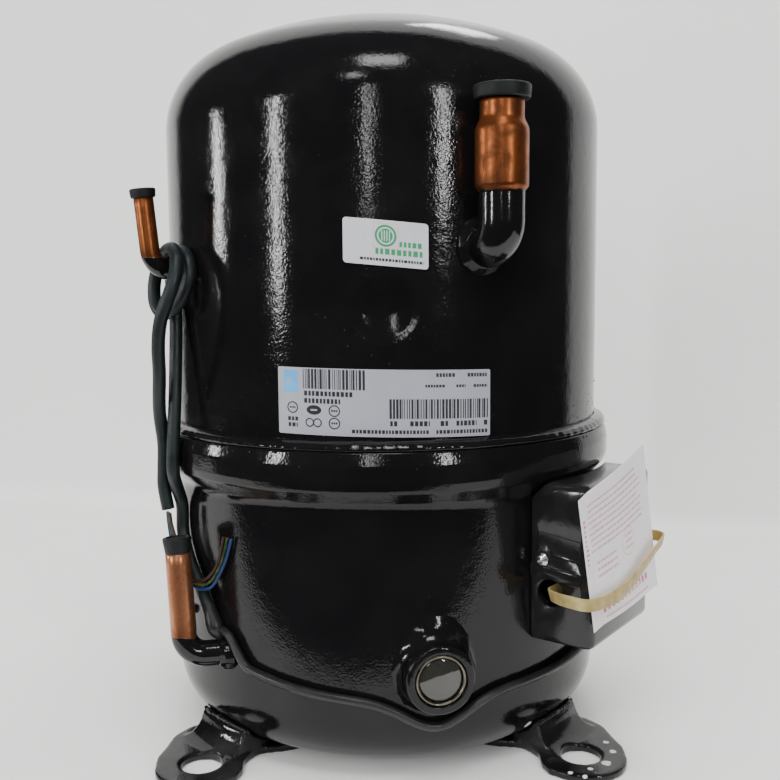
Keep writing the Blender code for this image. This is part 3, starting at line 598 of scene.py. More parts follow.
def jitter(i, k):
    """A fixed pseudo-random number from 0 to 1 for item i and use k."""
    return math.modf(abs(math.sin(i * 12.9898 + k * 78.233) * 43758.5453))[0]


def blob(bm, centre, size, flat, out):
    """A small rounded bump sitting on a surface whose normal is out."""
    m = Matrix.Translation(centre) @ Vector(out).to_track_quat("Z", "Y").to_matrix().to_4x4() @ \
        Matrix.Diagonal((size, size * 0.9, size * flat, 1))
    bmesh.ops.create_icosphere(bm, subdivisions=2, radius=1.0, matrix=m)


spatter = bmesh.new()
for i in range(230):
    az = -100 + 200 * jitter(i, 1)
    near_seam = jitter(i, 2) ** 2.2
    z = 169.5 + near_seam * 22 if jitter(i, 3) > 0.35 else 163.5 - near_seam * 10
    r = SHELL_R if z > 168 else 126.0
    blob(spatter, at(az, r, z), 0.28 + 0.5 * jitter(i, 4) ** 3, 0.6, at(az, 1, 0))
piece(raw("weld_spatter", spatter, 80), PAINT_SMALL, "shell")


# ================================================================ feet
def sector(profile, az0, az1, steps):
    """A closed profile swept through part of a turn, with both ends shut."""
    bm = bmesh.new()
    rings = [[bm.verts.new(at(az0 + (az1 - az0) * i / steps, r, z)) for r, z in profile] for i in range(steps + 1)]
    n = len(profile)
    for a, b in zip(rings, rings[1:]):
        for j in range(n):
            bm.faces.new((a[j], a[(j + 1) % n], b[(j + 1) % n], b[j]))
    bm.faces.new(rings[0]), bm.faces.new(rings[-1])
    return bm


def foot(name, az, wide):
    """A foot round its hole: a broad ear on one side, as wide says, and a narrow waist on the other."""
    reach = FOOT_PITCH / math.sqrt(2)
    ear = [(11.5, 21.8, 9), (2.0, 28.0, 12), (-8.0, 35.5, 12), (-21.0, 38.5, 12), (-34.6, 33.4, 10),
           (-44.0, 28.0, 6),
           (-51.0, 26.0, 3)]
    waist = [(-51.0, -21.0, 3), (-40.8, -16.4, 8), (-29.5, -8.5, 9), (-17.0, -12.0, 9), (-11.0, -19.0, 8),
             (-4.0, -22.6, 8)]
    lobe = [(21.5 * math.cos(math.radians(a)) + 1.5, 22 * math.sin(math.radians(a))) for a in range(-76, 41, 6)]
    outline = fillet([(u, wide * v, r) for u, v, r in waist], 5) + [(u, wide * v) for u, v in lobe] + \
        fillet([(u, wide * v, r) for u, v, r in ear], 5)
    m = turn_z(az) @ Matrix.Rotation(math.radians(-90), 4, "Z") @ Matrix.Translation((reach, 0, 0))
    ob = raw(name + "_plate", prism(outline, 0, PLATE_TOP, m))
    web = arc(PAN_X, PAN_Z, PAN_R + 0.2, -74, -36,
              10) + fillet([(116.3, 15.4), (118.4, 9.8, 9), (122.8, 5.8, 9), (129.5, 3.6)], 4)
    web += [(129.5, 2.2), (web[0][0], 2.2)]
    short = 5.0 if wide > 0 else 14.0
    rise = raw(name + "_rise", sector(web, az - short, az - short + 19.0, 12))
    p = at(az, reach, 0)
    hole = raw(name + "_bore", revolve([(0, -5), (FOOT_HOLE_R, -5), (FOOT_HOLE_R, 12), (0, 12)], 64,
                                       Matrix.Translation((p.x, p.y, 0))))
    modify(ob, "BOOLEAN", object=rise, operation="UNION", solver="EXACT")
    modify(ob, "BOOLEAN", object=hole, operation="DIFFERENCE", solver="EXACT")
    modify(ob, "REMESH", mode="VOXEL", voxel_size=0.00085, adaptivity=0.0)
    modify(ob, "SMOOTH", factor=0.5, iterations=5)
    settle(ob, 80, (rise, hole))
    return piece(ob, PAINT_FOOT, "shell", name)


for foot_name, foot_az, ear_side in (("foot_front_left", -45, -1), ("foot_front_right", 45, 1),
                                     ("foot_rear_left", -135, 1), ("foot_rear_right", 135, -1)):
    foot(foot_name, foot_az, ear_side)

beads = bmesh.new()
for n, start in enumerate((-59, 40, -140, 121)):
    for i in range(26):
        a = start + 19 * i / 25
        ph = -35 - 4 * abs(i - 12.5) / 12.5 * (0.6 + 0.4 * jitter(i, n))
        r, z = arc(PAN_X, PAN_Z, PAN_R + 1.4, ph, ph, 1)[0]
        blob(beads, at(a, r, z), 1.5 + 1.1 * jitter(i, n + 5), 0.75, at(a, 1, 0) + Vector((0, 0, -0.6)))
piece(raw("foot_welds", beads, 80), PAINT_SMALL, "shell")


# ================================================================ tubes and plugs
def neck(name, path, r, size=1.6):
    """The brazed fillet where a tube goes through the wall, lumpy and painted over."""
    a, b = path[0], path[1]
    axis = (b - a).normalized()
    # where the tube crosses the wall
    t, p = 0.0, a.copy()
    while math.hypot(p.x, p.y) < SHELL_R - 0.4 and t < 80:
        t += 0.2
        p = a + axis * t
    q = axis.to_track_quat("Z", "Y").to_matrix().to_4x4()
    prof = fillet([(r - 0.6, -4), (r + size * 1.8, -4), (r + size * 1.5, 0.6, 1.2), (r + 0.5, size * 2.0, 1.2),
                   (r - 0.6, size * 2.4)], 5)

    def lumpy(v, az, rr, z):
        if rr < r + 0.2:
            return v
        return at(az, rr + 0.55 * noise.noise(v * 0.35), z + 0.8 * noise.noise(v * 0.22 + Vector((3, 0, 0))))

    bm = revolve(prof, 72, closed=True, shape=lumpy)
    bmesh.ops.transform(bm, matrix=Matrix.Translation(p) @ q, verts=bm.verts)
    return piece(raw(name, bm, 80), PAINT_SMALL, "shell")


def stub(name, path, radii, bore, look, cad):
    return piece(raw(name, tube(path, radii, bore, seg=56, rim=0.5), 50), look, "shell", cad)


S_ROOT, S_ELBOW, S_TOP = at(20.6, 105, 258), at(21.8, 134, 258), at(21.8, 134, 320.7)
elbow = bend_path([S_ROOT, S_ELBOW, S_ELBOW.lerp(S_TOP, 0.35)], 17, 14)
up, radii = [], []
for i in range(40):
    z = 280.2 + (320.2 - 280.2) * i / 39
    up.append(S_ELBOW.lerp(S_TOP, (z - 258) / 62.7))
    radii.append(10.4 + 1.6 * ease((z - 281.0) / 2.6) - 2.1 * ease((z - 307.5) / 6.0))
stub("suction_stub", elbow + up, [10.4] * len(elbow) + radii, 8.2, SUCTION_COPPER, "suction_tube")
neck("suction_braze", elbow, 10.4, 2.0)

P_ROOT, P_ELBOW, P_TOP = at(-55.5, 103, 248), at(-56.4, 138.5, 248), at(-56.8, 141.5, 283)
p_path = bend_path([P_ROOT, P_ELBOW, P_TOP], 11, 12)
stub("process_stub", p_path[:-1] + [p_path[-2].lerp(P_TOP, k / 6) for k in range(1, 7)], 4.8, 3.9, PROCESS_COPPER,
     "process_tube")
neck("process_braze", p_path, 4.8, 1.4)

D_TOP, D_ELBOW, D_ENTRY = at(-51.2, 135.6, 108.3), at(-49.4, 135.6, 57), at(-44.8, SHELL_R, 57)
D_ROOT = D_ENTRY + (D_ENTRY - D_ELBOW).normalized() * 16
d_path = bend_path([D_ROOT, D_ELBOW, D_TOP], 11, 14)
stub("discharge_stub", d_path[:-1] + [d_path[-2].lerp(D_TOP, k / 8) for k in range(1, 9)], 6.35, 5.2,
     DISCHARGE_COPPER, "discharge_tube")
neck("discharge_braze", d_path, 6.35, 1.5)


def plug(name, top, direction, flange_r, flange_t, stem_r, stem_l, flare, body, cad):
    d = Vector(direction).normalized()
    q = Matrix.Translation(top) @ d.to_track_quat("Z", "Y").to_matrix().to_4x4()
    prof = fillet([(0, -stem_l), (stem_r - 0.6, -stem_l, 0.8), (stem_r, -stem_l + 2.0, 1.0), (stem_r, 0.35),
                   (flange_r - flare, 0.35, 0.6), (flange_r, flange_t - 0.2, 0.7), (flange_r - 1.6, flange_t, 0.6),
                   (flange_r - 2.4, flange_t - 0.7, 0.6), (0, flange_t - 0.9)], 4)
    return piece(raw(name, revolve(prof, 64, q), 50), PLUG, body, cad)


plug("suction_stopper_cap", S_TOP, S_TOP - S_ELBOW, 13.0, 6.4, 7.8, 12, 0.5, "suction_stopper", "suction_plug")
plug("process_stopper_cap", P_TOP, P_TOP - P_ELBOW, 6.4, 4.8, 3.5, 9, 0.5, "process_stopper", "process_plug")
plug("discharge_stopper_cap", D_TOP, D_TOP - D_ELBOW, 7.3, 8.1, 4.8, 10, 1.0, "discharge_stopper", "discharge_plug")

# ================================================================ sight glass
sg = outward(SIGHT_AZ, SIGHT_Z)
ring_prof = fillet([(8.5, 109), (16.7, 109), (16.7, 120, 3), (16.7, 131.2, 1.6), (12.6, 131.2, 0.5),
                    (12.6, 126.6, 0.3),
                    (8.5, 126.6)], 5)
piece(raw("sight_housing", revolve(ring_prof, 96, sg, closed=True), 50), PAINT_SMALL, "shell",
      "sight_glass_housing")
eye_prof = fillet([(10.7, 127.0), (12.3, 127.0), (12.3, 130.3, 0.5), (11.4, 130.9, 0.5), (10.7, 130.0, 0.4)], 4)
piece(raw("sight_eyelet", revolve(eye_prof, 96, sg, closed=True), 50), EYELET, "shell", "sight_glass_ring")


def lens_look():
    """Thick glass over the pale window behind it, with painted shade that darkens it towards the rim, most at the
    lower left, away from an off-centre disc.
    """
    k = Look("sight_window", (0.035, 0.033, 0.028), 0.05, Coat_Weight=1.0, Coat_Roughness=0.02)
    centre = at(SIGHT_AZ, 129, SIGHT_Z)
    d = k.node("ShaderNodeVectorMath", {0: k.mm, 1: tuple(centre)}, operation="DISTANCE").outputs["Value"]
    # painted shade: the next lines darken the window's outer rim, and this off-centre disc up and to the right
    # keeps part of it lighter
    unshaded_disc = k.near(centre + at(SIGHT_AZ + 90, 2.2, 0) + Vector((0, 0, 2.4)), 7.6, 8.6)
    tone = k.mix(k.span(d, 8.9, 10.6), (0.022, 0.021, 0.016), (0.010, 0.0095, 0.008))
    tone = k.mix(k.math("MULTIPLY", unshaded_disc, 0.6), tone, (0.022, 0.021, 0.018))
    k.set("Base Color", k.mix(k.span(k.noise(0.5, 4.0), 0.5, 0.8, 0, 0.25), tone, (0.045, 0.042, 0.032)))
    k.set("Normal", k.bump(k.noise(0.12), 0.15))
    return k.m


lens = [(0, 127.0), (10.4, 127.0), (10.4, 129.0), (10.2, 129.3)]
lens += [(10.1 * math.cos(math.radians(a)), 129.3 + 1.1 * math.sin(math.radians(a))) for a in range(10, 90, 8)]
lens.append((0, 130.4))
piece(raw("sight_lens", revolve(lens, 72, sg), 50), lens_look(), "shell", "sight_glass_lens")


def hood(name):
    """The squeezed-up lip of the pan above the sight glass, where its hole was pushed out from inside."""
    bm = bmesh.new()
    n, m = 64, 14
    grid = []
    for i in range(m + 1):
        t = i / m
        row = []
        for j in range(n):
            a = 2 * math.pi * j / n
            rho = 16.5 + (6.0 + 9.0 * max(0.0, math.sin(a)) ** 3) * t ** 1.15
            lift = 6.8 * (1 - t) ** 2.1 * (0.75 + 0.25 * math.sin(a))
            x, y = rho * math.cos(a), rho * math.sin(a)
            az = SIGHT_AZ + math.degrees(x / SHELL_R)
            rough = 0.25 * noise.noise(Vector((x, y, 0)) * 0.3)
            row.append(bm.verts.new(at(az, SHELL_R - 0.25 + lift + rough, SIGHT_Z + y)))
        grid.append(row)
    back = [bm.verts.new(at(SIGHT_AZ + math.degrees(16.5 * math.cos(2 * math.pi * j / n) / SHELL_R), SHELL_R - 3.2,
                            SIGHT_Z + 16.5 * math.sin(2 * math.pi * j / n))) for j in range(n)]
    for a, b in list(zip(grid, grid[1:])) + [(grid[-1], back), (back, grid[0])]:
        for j in range(n):
            bm.faces.new((a[j], a[(j + 1) % n], b[(j + 1) % n], b[j]))
    return piece(raw(name, bm, 60), PAINT_SMALL, "shell")


hood("sight_lip")


# ================================================================ belt heater
def belt_z(az):
    z = 44.5 + (0.0055 if az < 5 else 0.0020) * (az - 5) ** 2
    z = min(z, 56.0) - 13.0 * math.exp(-((az - SIGHT_AZ) / 9.5) ** 2)
    return z + 13.0 * ease((-35.0 - az) / 8.0) + 14.0 * ease((az - 285.0) / 14.0)


def belt_r(z):
    return PAN_X + math.sqrt(PAN_R ** 2 - max(PAN_Z - z, 0.0) ** 2) + 2.85


belt_line = [at(a, belt_r(belt_z(a)), belt_z(a)) for a in [-46 + 1.5 * i for i in range(231)]]
flat_oval = [(0.92 * math.cos(t) * 2.4, 2.4 * math.sin(t)) for t in (2 * math.pi * j / 20 for j in range(20))]
piece(raw("belt_heater_band", tube(belt_line, 1.0, section=flat_oval), 60), BELT, "shell", "heater_belt")
joint = smooth_path([belt_line[0] + Vector((2.5, 1.5, -3)), belt_line[0], at(-46.4, 122.6, 71.5),
                     at(-47.2, 122.9, 75.5),
                     at(-48.6, 122.9, 80.5)], 6)
swell = [3.6 + 1.1 * math.sin(math.pi * min(1, i / 20)) for i in range(len(joint))]
piece(raw("belt_joint_sleeve", tube(joint, swell, seg=24), 60), BELT, "shell")

# ================================================================ terminal box
bx = turn_z(BOX_AZ)
HW, HH = BOX_W / 2, BOX_H / 2
PLASTIC = plain("box_plastic", (0.012, 0.012, 0.013), 0.16, 0.5, 0.05, 0.6)
# painted reflection: this warm brown stands in for something warm mirrored in the cover's side, not the plastic's
# own colour
WARM_REFLECTION_LOOK = plain("pocket_painted_reflection", (0.115, 0.066, 0.050), 0.55, 0.6, 0.05, 0.7)


def rounded_box(name, x0, x1, y0, y1, z0, z1, r, matrix):
    ob = raw(name, block(x0, x1, y0, y1, z0, z1, matrix))
    modify(ob, "BEVEL", width=r * 0.001, segments=4, limit_method="ANGLE")
    return ob


cover = rounded_box("terminal_cover_shell", -HW, HW, -BOX_FACE, -96, BOX_Z - HH, BOX_Z + HH, 4.0, bx)
hollow = rounded_box("tool_hollow", -HW + 2.2, HW - 2.2, -BOX_FACE + 2.4, -80, BOX_Z - HH + 2.2, BOX_Z + HH - 2.2,
                     2.5, bx)
against = raw("tool_against", revolve([(0, 20), (FILM_R + 0.5, 20), (FILM_R + 0.5, 136.5), (FILM_R + 7.9, 145),
                                       (FILM_R + 7.9, 200), (0, 200)], 256))
way = raw("tool_way", tube([bx @ Vector((-60, -125, 90.6)), bx @ Vector((60, -125, 90.6))], 7.0, seg=48))
ledge = rounded_box("tool_ledge", -HW - 0.9, -HW + 3, -141, -112, 96.5, 103.5, 1.0,
                    bx @ Matrix.Translation((0, -126, 100)) @ Matrix.Rotation(math.radians(5), 4, "X")
                    @ Matrix.Translation((0, 126, -100)))
pocket = rounded_box("tool_pocket", -HW - 4, -HW + 1.3, -140, -117.5, 108.5, 119.5, 0.9,
                     bx @ Matrix.Translation((0, -128, 114)) @ Matrix.Rotation(math.radians(7), 4, "X")
                     @ Matrix.Translation((0, 128, -114)))
boss = raw("tool_boss", tube([bx @ Vector((-HW - 0.25, -121, 107)), bx @ Vector((-HW + 3, -121, 107))], 5.0,
                             seg=40))
bore = raw("tool_bore", tube([bx @ Vector((-HW - 4, -121, 107)), bx @ Vector((-HW + 5, -121, 107))], 1.9, seg=24))
for tool, how in ((hollow, "DIFFERENCE"), (ledge, "UNION"), (pocket, "DIFFERENCE"), (boss, "UNION"),
                  (bore, "DIFFERENCE"),
                  (against, "DIFFERENCE"), (way, "DIFFERENCE")):
    modify(cover, "BOOLEAN", object=tool, operation=how, solver="EXACT")
modify(cover, "BEVEL", width=0.0005, segments=2, limit_method="ANGLE", angle_limit=math.radians(40))
settle(cover, 40, (hollow, ledge, pocket, boss, bore, against, way))
piece(cover, PLASTIC, "cover", "terminal_cover")

# a thin sheet in the pocket that carries the painted warm reflection
reflection_panel = rounded_box("pocket_reflection_panel", -HW + 1.35, -HW + 1.75, -139, -118.5, 109.6, 118.4, 0.15,
                    bx @ Matrix.Translation((0, -128, 114)) @ Matrix.Rotation(math.radians(7), 4, "X")
                    @ Matrix.Translation((0, 128, -114)))
settle(reflection_panel)
piece(reflection_panel, WARM_REFLECTION_LOOK, "cover")

side = bx @ Matrix.Translation((-HW - 0.3, -121, 107)) @ Matrix.Rotation(math.radians(-90), 4, "Y")
screw_head = raw("cover_screw_head", revolve(fillet([(0, -2.4), (1.5, -2.4), (1.5, 0.3), (3.2, 0.3, 0.2),
        (3.2, 0.9, 0.5),
                                                     (2.2, 2.0, 1.0), (0, 2.5)], 5), 48, side))
cross = raw("tool_cross", block(-2.0, 2.0, -0.38, 0.38, 1.2, 4, side @ Matrix.Rotation(0.5, 4, "Z")))
cross2 = raw("tool_cross2", block(-0.38, 0.38, -2.0, 2.0, 1.2, 4, side @ Matrix.Rotation(0.5, 4, "Z")))
for c in (cross, cross2):
    modify(screw_head, "BOOLEAN", object=c, operation="DIFFERENCE", solver="EXACT")
settle(screw_head, 40, (cross, cross2))
piece(screw_head, ZINC, "cover", "cover_screw")

# ---- leaflet: two sheets held against the cover
PAPER = plain("leaflet_stock", (0.94, 0.91, 0.92), 0.62, 0.8, 0.03, 0.96)
PINK = plain("pink_print", (0.80, 0.16, 0.34), 0.6)
FAINT = plain("faint_pink_print", (0.80, 0.44, 0.56), 0.6)


def sheet_point(u, v, lift=0.0, fan=0.0):
    """u runs 0 to 1 from the left, v 0 to 1 from the bottom, on a sheet that bows out a little."""
    left = Vector((-39.0 + fan, 77.0)).lerp(Vector((-58.0 + fan, 143.5)), v)
    right = Vector((42.0 + fan, 79.0)).lerp(Vector((19.0 + fan, 158.5)), v)
    p = left.lerp(right, u)
    bow = 1.5 * math.sin(math.pi * u) ** 2 + 1.4 * (1 - v) * (u - 0.3) ** 2 + 0.8 * ease((0.16 - u) / 0.16)
    return bx @ Vector((p.x, -(148.3 + bow + lift), p.y))


def sheet(name, lift, fan, thick, nu=36, nv=30):
    bm = bmesh.new()
    for o in (0.0, thick):
        rows = [[bm.verts.new(sheet_point(i / nu, j / nv, lift + o,
                                          fan)) for i in range(nu + 1)] for j in range(nv + 1)]
        for a, b in zip(rows, rows[1:]):
            for i in range(nu):
                bm.faces.new((a[i], a[i + 1], b[i + 1], b[i]))
        if o == 0.0:
            first = rows
    border = lambda g: g[0] + [r[-1] for r in g[1:]] + g[-1][-2::-1] + [r[0] for r in g[-2:0:-1]]
    a, b = border(first), border(rows)
    for i in range(len(a)):
        k = (i + 1) % len(a)
        bm.faces.new((a[i], a[k], b[k], b[i]))
    return raw(name, bm)


piece(sheet("leaflet_front", 0.45, 0.0, 0.16), PAPER, "cover", "leaflet")
piece(sheet("leaflet_back", 0.05, 1.6, 0.16), PAPER, "cover")


def strip(bm, fn, u0, u1, v0, v1, slot=0, steps=3):
    """A thin printed patch on a curved surface given by fn(u, v)."""
    cols = [(bm.verts.new(fn(u0 + (u1 - u0) * i / steps, v0)), bm.verts.new(fn(u0 + (u1 - u0) * i / steps, v1)))
            for i in range(steps + 1)]
    for a, b in zip(cols, cols[1:]):
        bm.faces.new((a[0], b[0], b[1], a[1])).material_index = slot


def flat_raw(name, bm):
    """Open printed patches keep the way they face."""
    bmesh.ops.transform(bm, matrix=Matrix.Scale(0.001, 4), verts=bm.verts)
    me = bpy.data.meshes.new(name)
    bm.to_mesh(me)
    bm.free()
    ob = bpy.data.objects.new(name, me)
    bpy.context.scene.collection.objects.link(ob)
    return ob


def words(bm, fn, u0, u1, v, h, slot, seed, gap=0.35, size=(0.6, 2.2)):
    """A line of print shown as plain bars of uneven length, in the same units as h."""
    u, i = u0, 0
    while u < u1:
        w = (size[0] + (size[1] - size[0]) * jitter(i, seed)) * h
        strip(bm, fn, u, min(u + w, u1), v, v + h, slot, 1)
        u += w + gap * h
        i += 1


on_leaf = lambda u, v: sheet_point(u, v, 0.66)
leaf_ink = bmesh.new()
for i in range(9):
    v = 0.90 - 0.042 * i
    words(leaf_ink, on_leaf, 0.10 + 0.02 * jitter(i, 3), 0.93 - 0.12 * jitter(i, 2), v, 0.014, 1, i + 3, 0.5,
          (1.0, 4.5))
for i in range(10):
    strip(leaf_ink, on_leaf, 0.028, 0.045 + 0.02 * jitter(i, 6), 0.50 + 0.035 * i, 0.518 + 0.035 * i, 0, 1)
for i in range(34):
    t0, t1 = 2 * math.pi * i / 34, 2 * math.pi * (i + 0.8) / 34
    c = (0.60, 0.47)
    q = [(c[0] + 0.10 * s * math.cos(t), c[1] + 0.10 * s * math.sin(t)) for s, t in ((1, t0), (1, t1), (0.94, t1),
            (0.94, t0))]
    leaf_ink.faces.new([leaf_ink.verts.new(on_leaf(*p)) for p in q]).material_index = 1
for i in range(3):
    words(leaf_ink, on_leaf, 0.16, 0.42, 0.36 + 0.05 * i, 0.018, 1, 30 + i)
    words(leaf_ink, on_leaf, 0.55, 0.66, 0.42 + 0.045 * i, 0.016, 1, 36 + i)
for i in range(12):
    u = 0.17 + 0.058 * i
    strip(leaf_ink, on_leaf, u, u + 0.034, 0.085 + 0.002 * i, 0.150, 0, 1)
    strip(leaf_ink, on_leaf, u + 0.012, u + 0.024, 0.10, 0.13, 2, 1)
words(leaf_ink, on_leaf, 0.20, 0.85, 0.035, 0.016, 1, 50)
ink = flat_raw("leaflet_print", leaf_ink)
piece(ink, [PINK, FAINT, PAPER], "cover")


# ---- elastic band
def band_look():
    k = Look("elastic_look", (0.55, 0.43, 0.20), 0.42, Subsurface_Weight=0.15)
    k.set("Base Color", k.mix(k.span(k.noise(0.22, 4.0), 0.35, 0.7), (0.45, 0.35, 0.15), (0.30, 0.22, 0.08)))
    k.set("Normal", k.bump(k.noise(1.4, 3.0), 0.03))
    return k.m


band_knots = [(-26, 125.0, 90.6), (-36, 125.4, 90.6), (-42, 131, 91.4), (-47, 141, 92.4), (-45, 150.4, 92.0),
              (-24, 152.2, 90.2), (-6, 152.6, 91.8), (12, 152.6, 96.0), (32, 152.0, 101.5), (47, 150.0, 104),
              (51, 140, 103), (46, 130, 97), (36, 125.4, 90.8), (26, 125.0, 90.6)]
ribbon = smooth_path([bx @ Vector((t, -d, z)) for t, d, z in band_knots], 9, closed=True)


def band(path, wide, thick):
    bm = bmesh.new()
    n = len(path)
    section = fillet([(wide / 2, thick / 2, 0.3), (-wide / 2, thick / 2, 0.3), (-wide / 2, -thick / 2, 0.3),
                      (wide / 2, -thick / 2, 0.3)], 3, closed=True)
    rings = []
    for i, p in enumerate(path):
        t = (path[(i + 1) % n] - path[i - 1]).normalized()
        w = Vector((0, 0, 1))
        w = (w - t * w.dot(t)).normalized()
        o = t.cross(w).normalized()
        roll = 0.25 * math.sin(2 * math.pi * i / n * 2 + 0.6)
        w, o = w * math.cos(roll) + o * math.sin(roll), o * math.cos(roll) - w * math.sin(roll)
        rings.append([bm.verts.new(p + w * a + o * b) for a, b in section])
    m = len(section)
    for a, b in zip(rings, rings[1:] + rings[:1]):
        for j in range(m):
            bm.faces.new((a[j], a[(j + 1) % m], b[(j + 1) % m], b[j]))
    return bm


piece(raw("elastic_band", band(ribbon, 5.8, 1.1), 60), band_look(), "cover", "rubber_band")

# ================================================================ labels
FILM = plain("label_stock", (0.36, 0.37, 0.42), 0.38, 0.6, 0.02, 0.95)
WHITE_FILM = plain("white_label_stock", (0.60, 0.61, 0.66), 0.30, 0.6, 0.02, 0.95)
INK = plain("dark_print", (0.020, 0.020, 0.024), 0.45)
SKY = plain("light_blue_print", (0.10, 0.42, 0.85), 0.45)
GREEN = plain("green_print", (0.03, 0.30, 0.12), 0.45)
ROSE = plain("rose_print", (0.75, 0.45, 0.45), 0.45)


def on_shell(az0, az1, z0, z1, lean):
    """Maps millimetres from a label's lower left corner to its place on the wall."""
    def place(x, y, lift=0.0):
        a = az0 + math.degrees(x / FILM_R)
        return at(a, FILM_R + 0.30 + lift, z0 + y + lean * (0.5 - (a - az0) / (az1 - az0)))
    return place


def label(name, az0, az1, z0, z1, lean, look, cad, corner=2.0):
    to = on_shell(az0, az1, z0, z1, lean)
    w, h = math.radians(az1 - az0) * FILM_R, z1 - z0
    edge = fillet([(0, 0, corner), (w, 0, corner), (w, h, corner), (0, h, corner)], 6, closed=True)
    bm = bmesh.new()
    bm.faces.new([bm.verts.new((x, y, 0)) for x, y in edge])
    for i in range(1, 60):
        geom = bm.verts[:] + bm.edges[:] + bm.faces[:]
        bmesh.ops.bisect_plane(bm, geom=geom, plane_co=(w * i / 60, 0, 0), plane_no=(1, 0, 0))
    out = bmesh.ops.extrude_face_region(bm, geom=bm.faces[:])
    for v in [g for g in out["geom"] if isinstance(g, bmesh.types.BMVert)]:
        v.co.z = 0.28
    for v in bm.verts:
        v.co = to(v.co.x, v.co.y, v.co.z - 0.28)
    piece(raw(name, bm, 40), look, "shell", cad)
    return to, w, h


to, w, h = label("nameplate_film", -25.9, 23.0, 170.7, 201.9, 2.2, FILM, "nameplate", 0.8)
plate_ink = bmesh.new()
mark = lambda x, y: to(x, y, 0.04)


def bars(bm, fn, x0, x1, y0, y1, seed, slot=0):
    x, i = x0, 0
    while x < x1:
        wide = 0.28 + 0.62 * (jitter(i, seed) > 0.62) + 0.25 * jitter(i, seed + 1)
        strip(bm, fn, x, min(x + wide, x1), y0, y1, slot, 1)
        x += wide + 0.28 + 0.55 * jitter(i, seed + 2)
        i += 1


def ring_mark(bm, fn, cx, cy, r0, r1, slot=0, n=28, squash=1.0):
    for i in range(n):
        a, b = 2 * math.pi * i / n, 2 * math.pi * (i + 1) / n
        q = [(cx + r * math.cos(t), cy + r * squash * math.sin(t)) for r, t in ((r1, a), (r1, b), (r0, b), (r0, a))]
        bm.faces.new([bm.verts.new(fn(*p)) for p in (q if r0 > 0 else q[:2] + [(cx, cy)])]).material_index = slot


strip(plate_ink, mark, w * 0.030, w * 0.100, h * 0.63, h * 0.955, 1, 3)
strip(plate_ink, mark, w * 0.046, w * 0.062, h * 0.72, h * 0.84, 2, 1)
bars(plate_ink, mark, w * 0.125, w * 0.418, h * 0.69, h * 0.985, 11)


def plate_line(x0, x1, y, tall, seed, gap, size):
    """A line of print placed by shares of the plate's width and height."""
    words(plate_ink, mark, w * x0, w * x1, h * y, h * tall, 0, seed, gap, size)


plate_line(0.130, 0.36, 0.585, 0.072, 21, 0.28, (0.45, 0.75))
plate_line(0.130, 0.30, 0.475, 0.072, 22, 0.28, (0.45, 0.75))
for n, (cx, cy) in enumerate(((0.072, 0.40), (0.176, 0.375), (0.272, 0.37), (0.272, 0.185))):
    if n == 1:
        ring_mark(plate_ink, mark, w * cx, h * cy, 0, h * 0.115, 0, 28, 0.62)
        strip(plate_ink, lambda x, y: to(x, y, 0.07), w * cx - 1.6, w * cx + 1.6, h * cy - 0.4, h * cy + 0.4, 2, 2)
    else:
        ring_mark(plate_ink, mark, w * cx, h * cy, h * 0.070, h * 0.088)
        words(plate_ink, mark, w * cx - 1.5, w * cx + 1.5, h * cy - 0.4, 0.9, 0, 60 + n, 0.3, (0.6, 1.0))
for cx in (0.155, 0.192):
    ring_mark(plate_ink, mark, w * cx, h * 0.185, h * 0.050, h * 0.068, 0, 20)
plate_line(0.048, 0.098, 0.20, 0.06, 70, 0.3, (0.5, 0.9))
plate_line(0.050, 0.096, 0.11, 0.06, 71, 0.3, (0.5, 0.9))
for x0, x1, seed in ((0.735, 0.825, 23), (0.885, 0.985, 24)):
    plate_line(x0, x1, 0.895, 0.055, seed, 0.25, (0.5, 0.9))
for x0, x1, seed in ((0.685, 0.775, 25), (0.83, 0.875, 26), (0.915, 0.985, 27)):
    plate_line(x0, x1, 0.74, 0.040, seed, 0.3, (0.5, 1.0))
bars(plate_ink, mark, w * 0.522, w * 0.988, h * 0.275, h * 0.565, 31)
for x0, x1 in ((0.525, 0.56), (0.615, 0.705), (0.755, 0.79), (0.83, 0.93), (0.968, 0.985)):
    plate_line(x0, x1, 0.165, 0.075, int(x0 * 100), 0.25, (0.5, 0.8))
plate_line(0.352, 0.70, 0.050, 0.055, 81, 0.3, (0.45, 0.9))
plate_line(0.735, 0.985, 0.050, 0.055, 82, 0.3, (0.45, 0.9))
piece(flat_raw("nameplate_print", plate_ink), [INK, SKY, FILM], "shell")

to2, w2, h2 = label("round_mark_film", -10.2, 8.4, 248.8, 269.2, 3.7, WHITE_FILM, "round_mark_label",
                    1.6)
mark2 = lambda x, y: to2(x, y, 0.04)
over2 = lambda x, y: to2(x, y, 0.07)
round_ink = bmesh.new()
cx, cy = w2 * 0.50, h2 * 0.66
for x0, x1, y0, y1 in ((-5.6, 5.6, 5.4, 5.7), (-5.6, 5.6, -5.7, -5.4), (-5.7, -5.4, -5.6, 5.6),
                       (5.4, 5.7, -5.6, 5.6)):
    strip(round_ink, mark2, cx + x0, cx + x1, cy + y0, cy + y1, 3, 2)
ring_mark(round_ink, mark2, cx, cy, 3.9, 4.9, 0, 40)
ring_mark(round_ink, mark2, cx, cy, 0, 3.2, 0, 32)
for x in (-1.7, -0.55, 0.6, 1.75):
    strip(round_ink, over2, cx + x - 0.22, cx + x + 0.22, cy - 2.3, cy + 2.3, 1, 1)
words(round_ink, mark2, w2 * 0.66, w2 * 0.93, h2 * 0.44, h2 * 0.115, 0, 5, 0.3, (0.5, 0.8))
words(round_ink, mark2, w2 * 0.38, w2 * 0.93, h2 * 0.25, h2 * 0.125, 0, 7, 0.3, (0.5, 0.85))
words(round_ink, mark2, w2 * 0.20, w2 * 0.94, h2 * 0.10, h2 * 0.060, 2, 9, 0.35, (0.5, 1.2))
piece(flat_raw("round_mark_print", round_ink), [GREEN, WHITE_FILM, INK, ROSE], "shell")

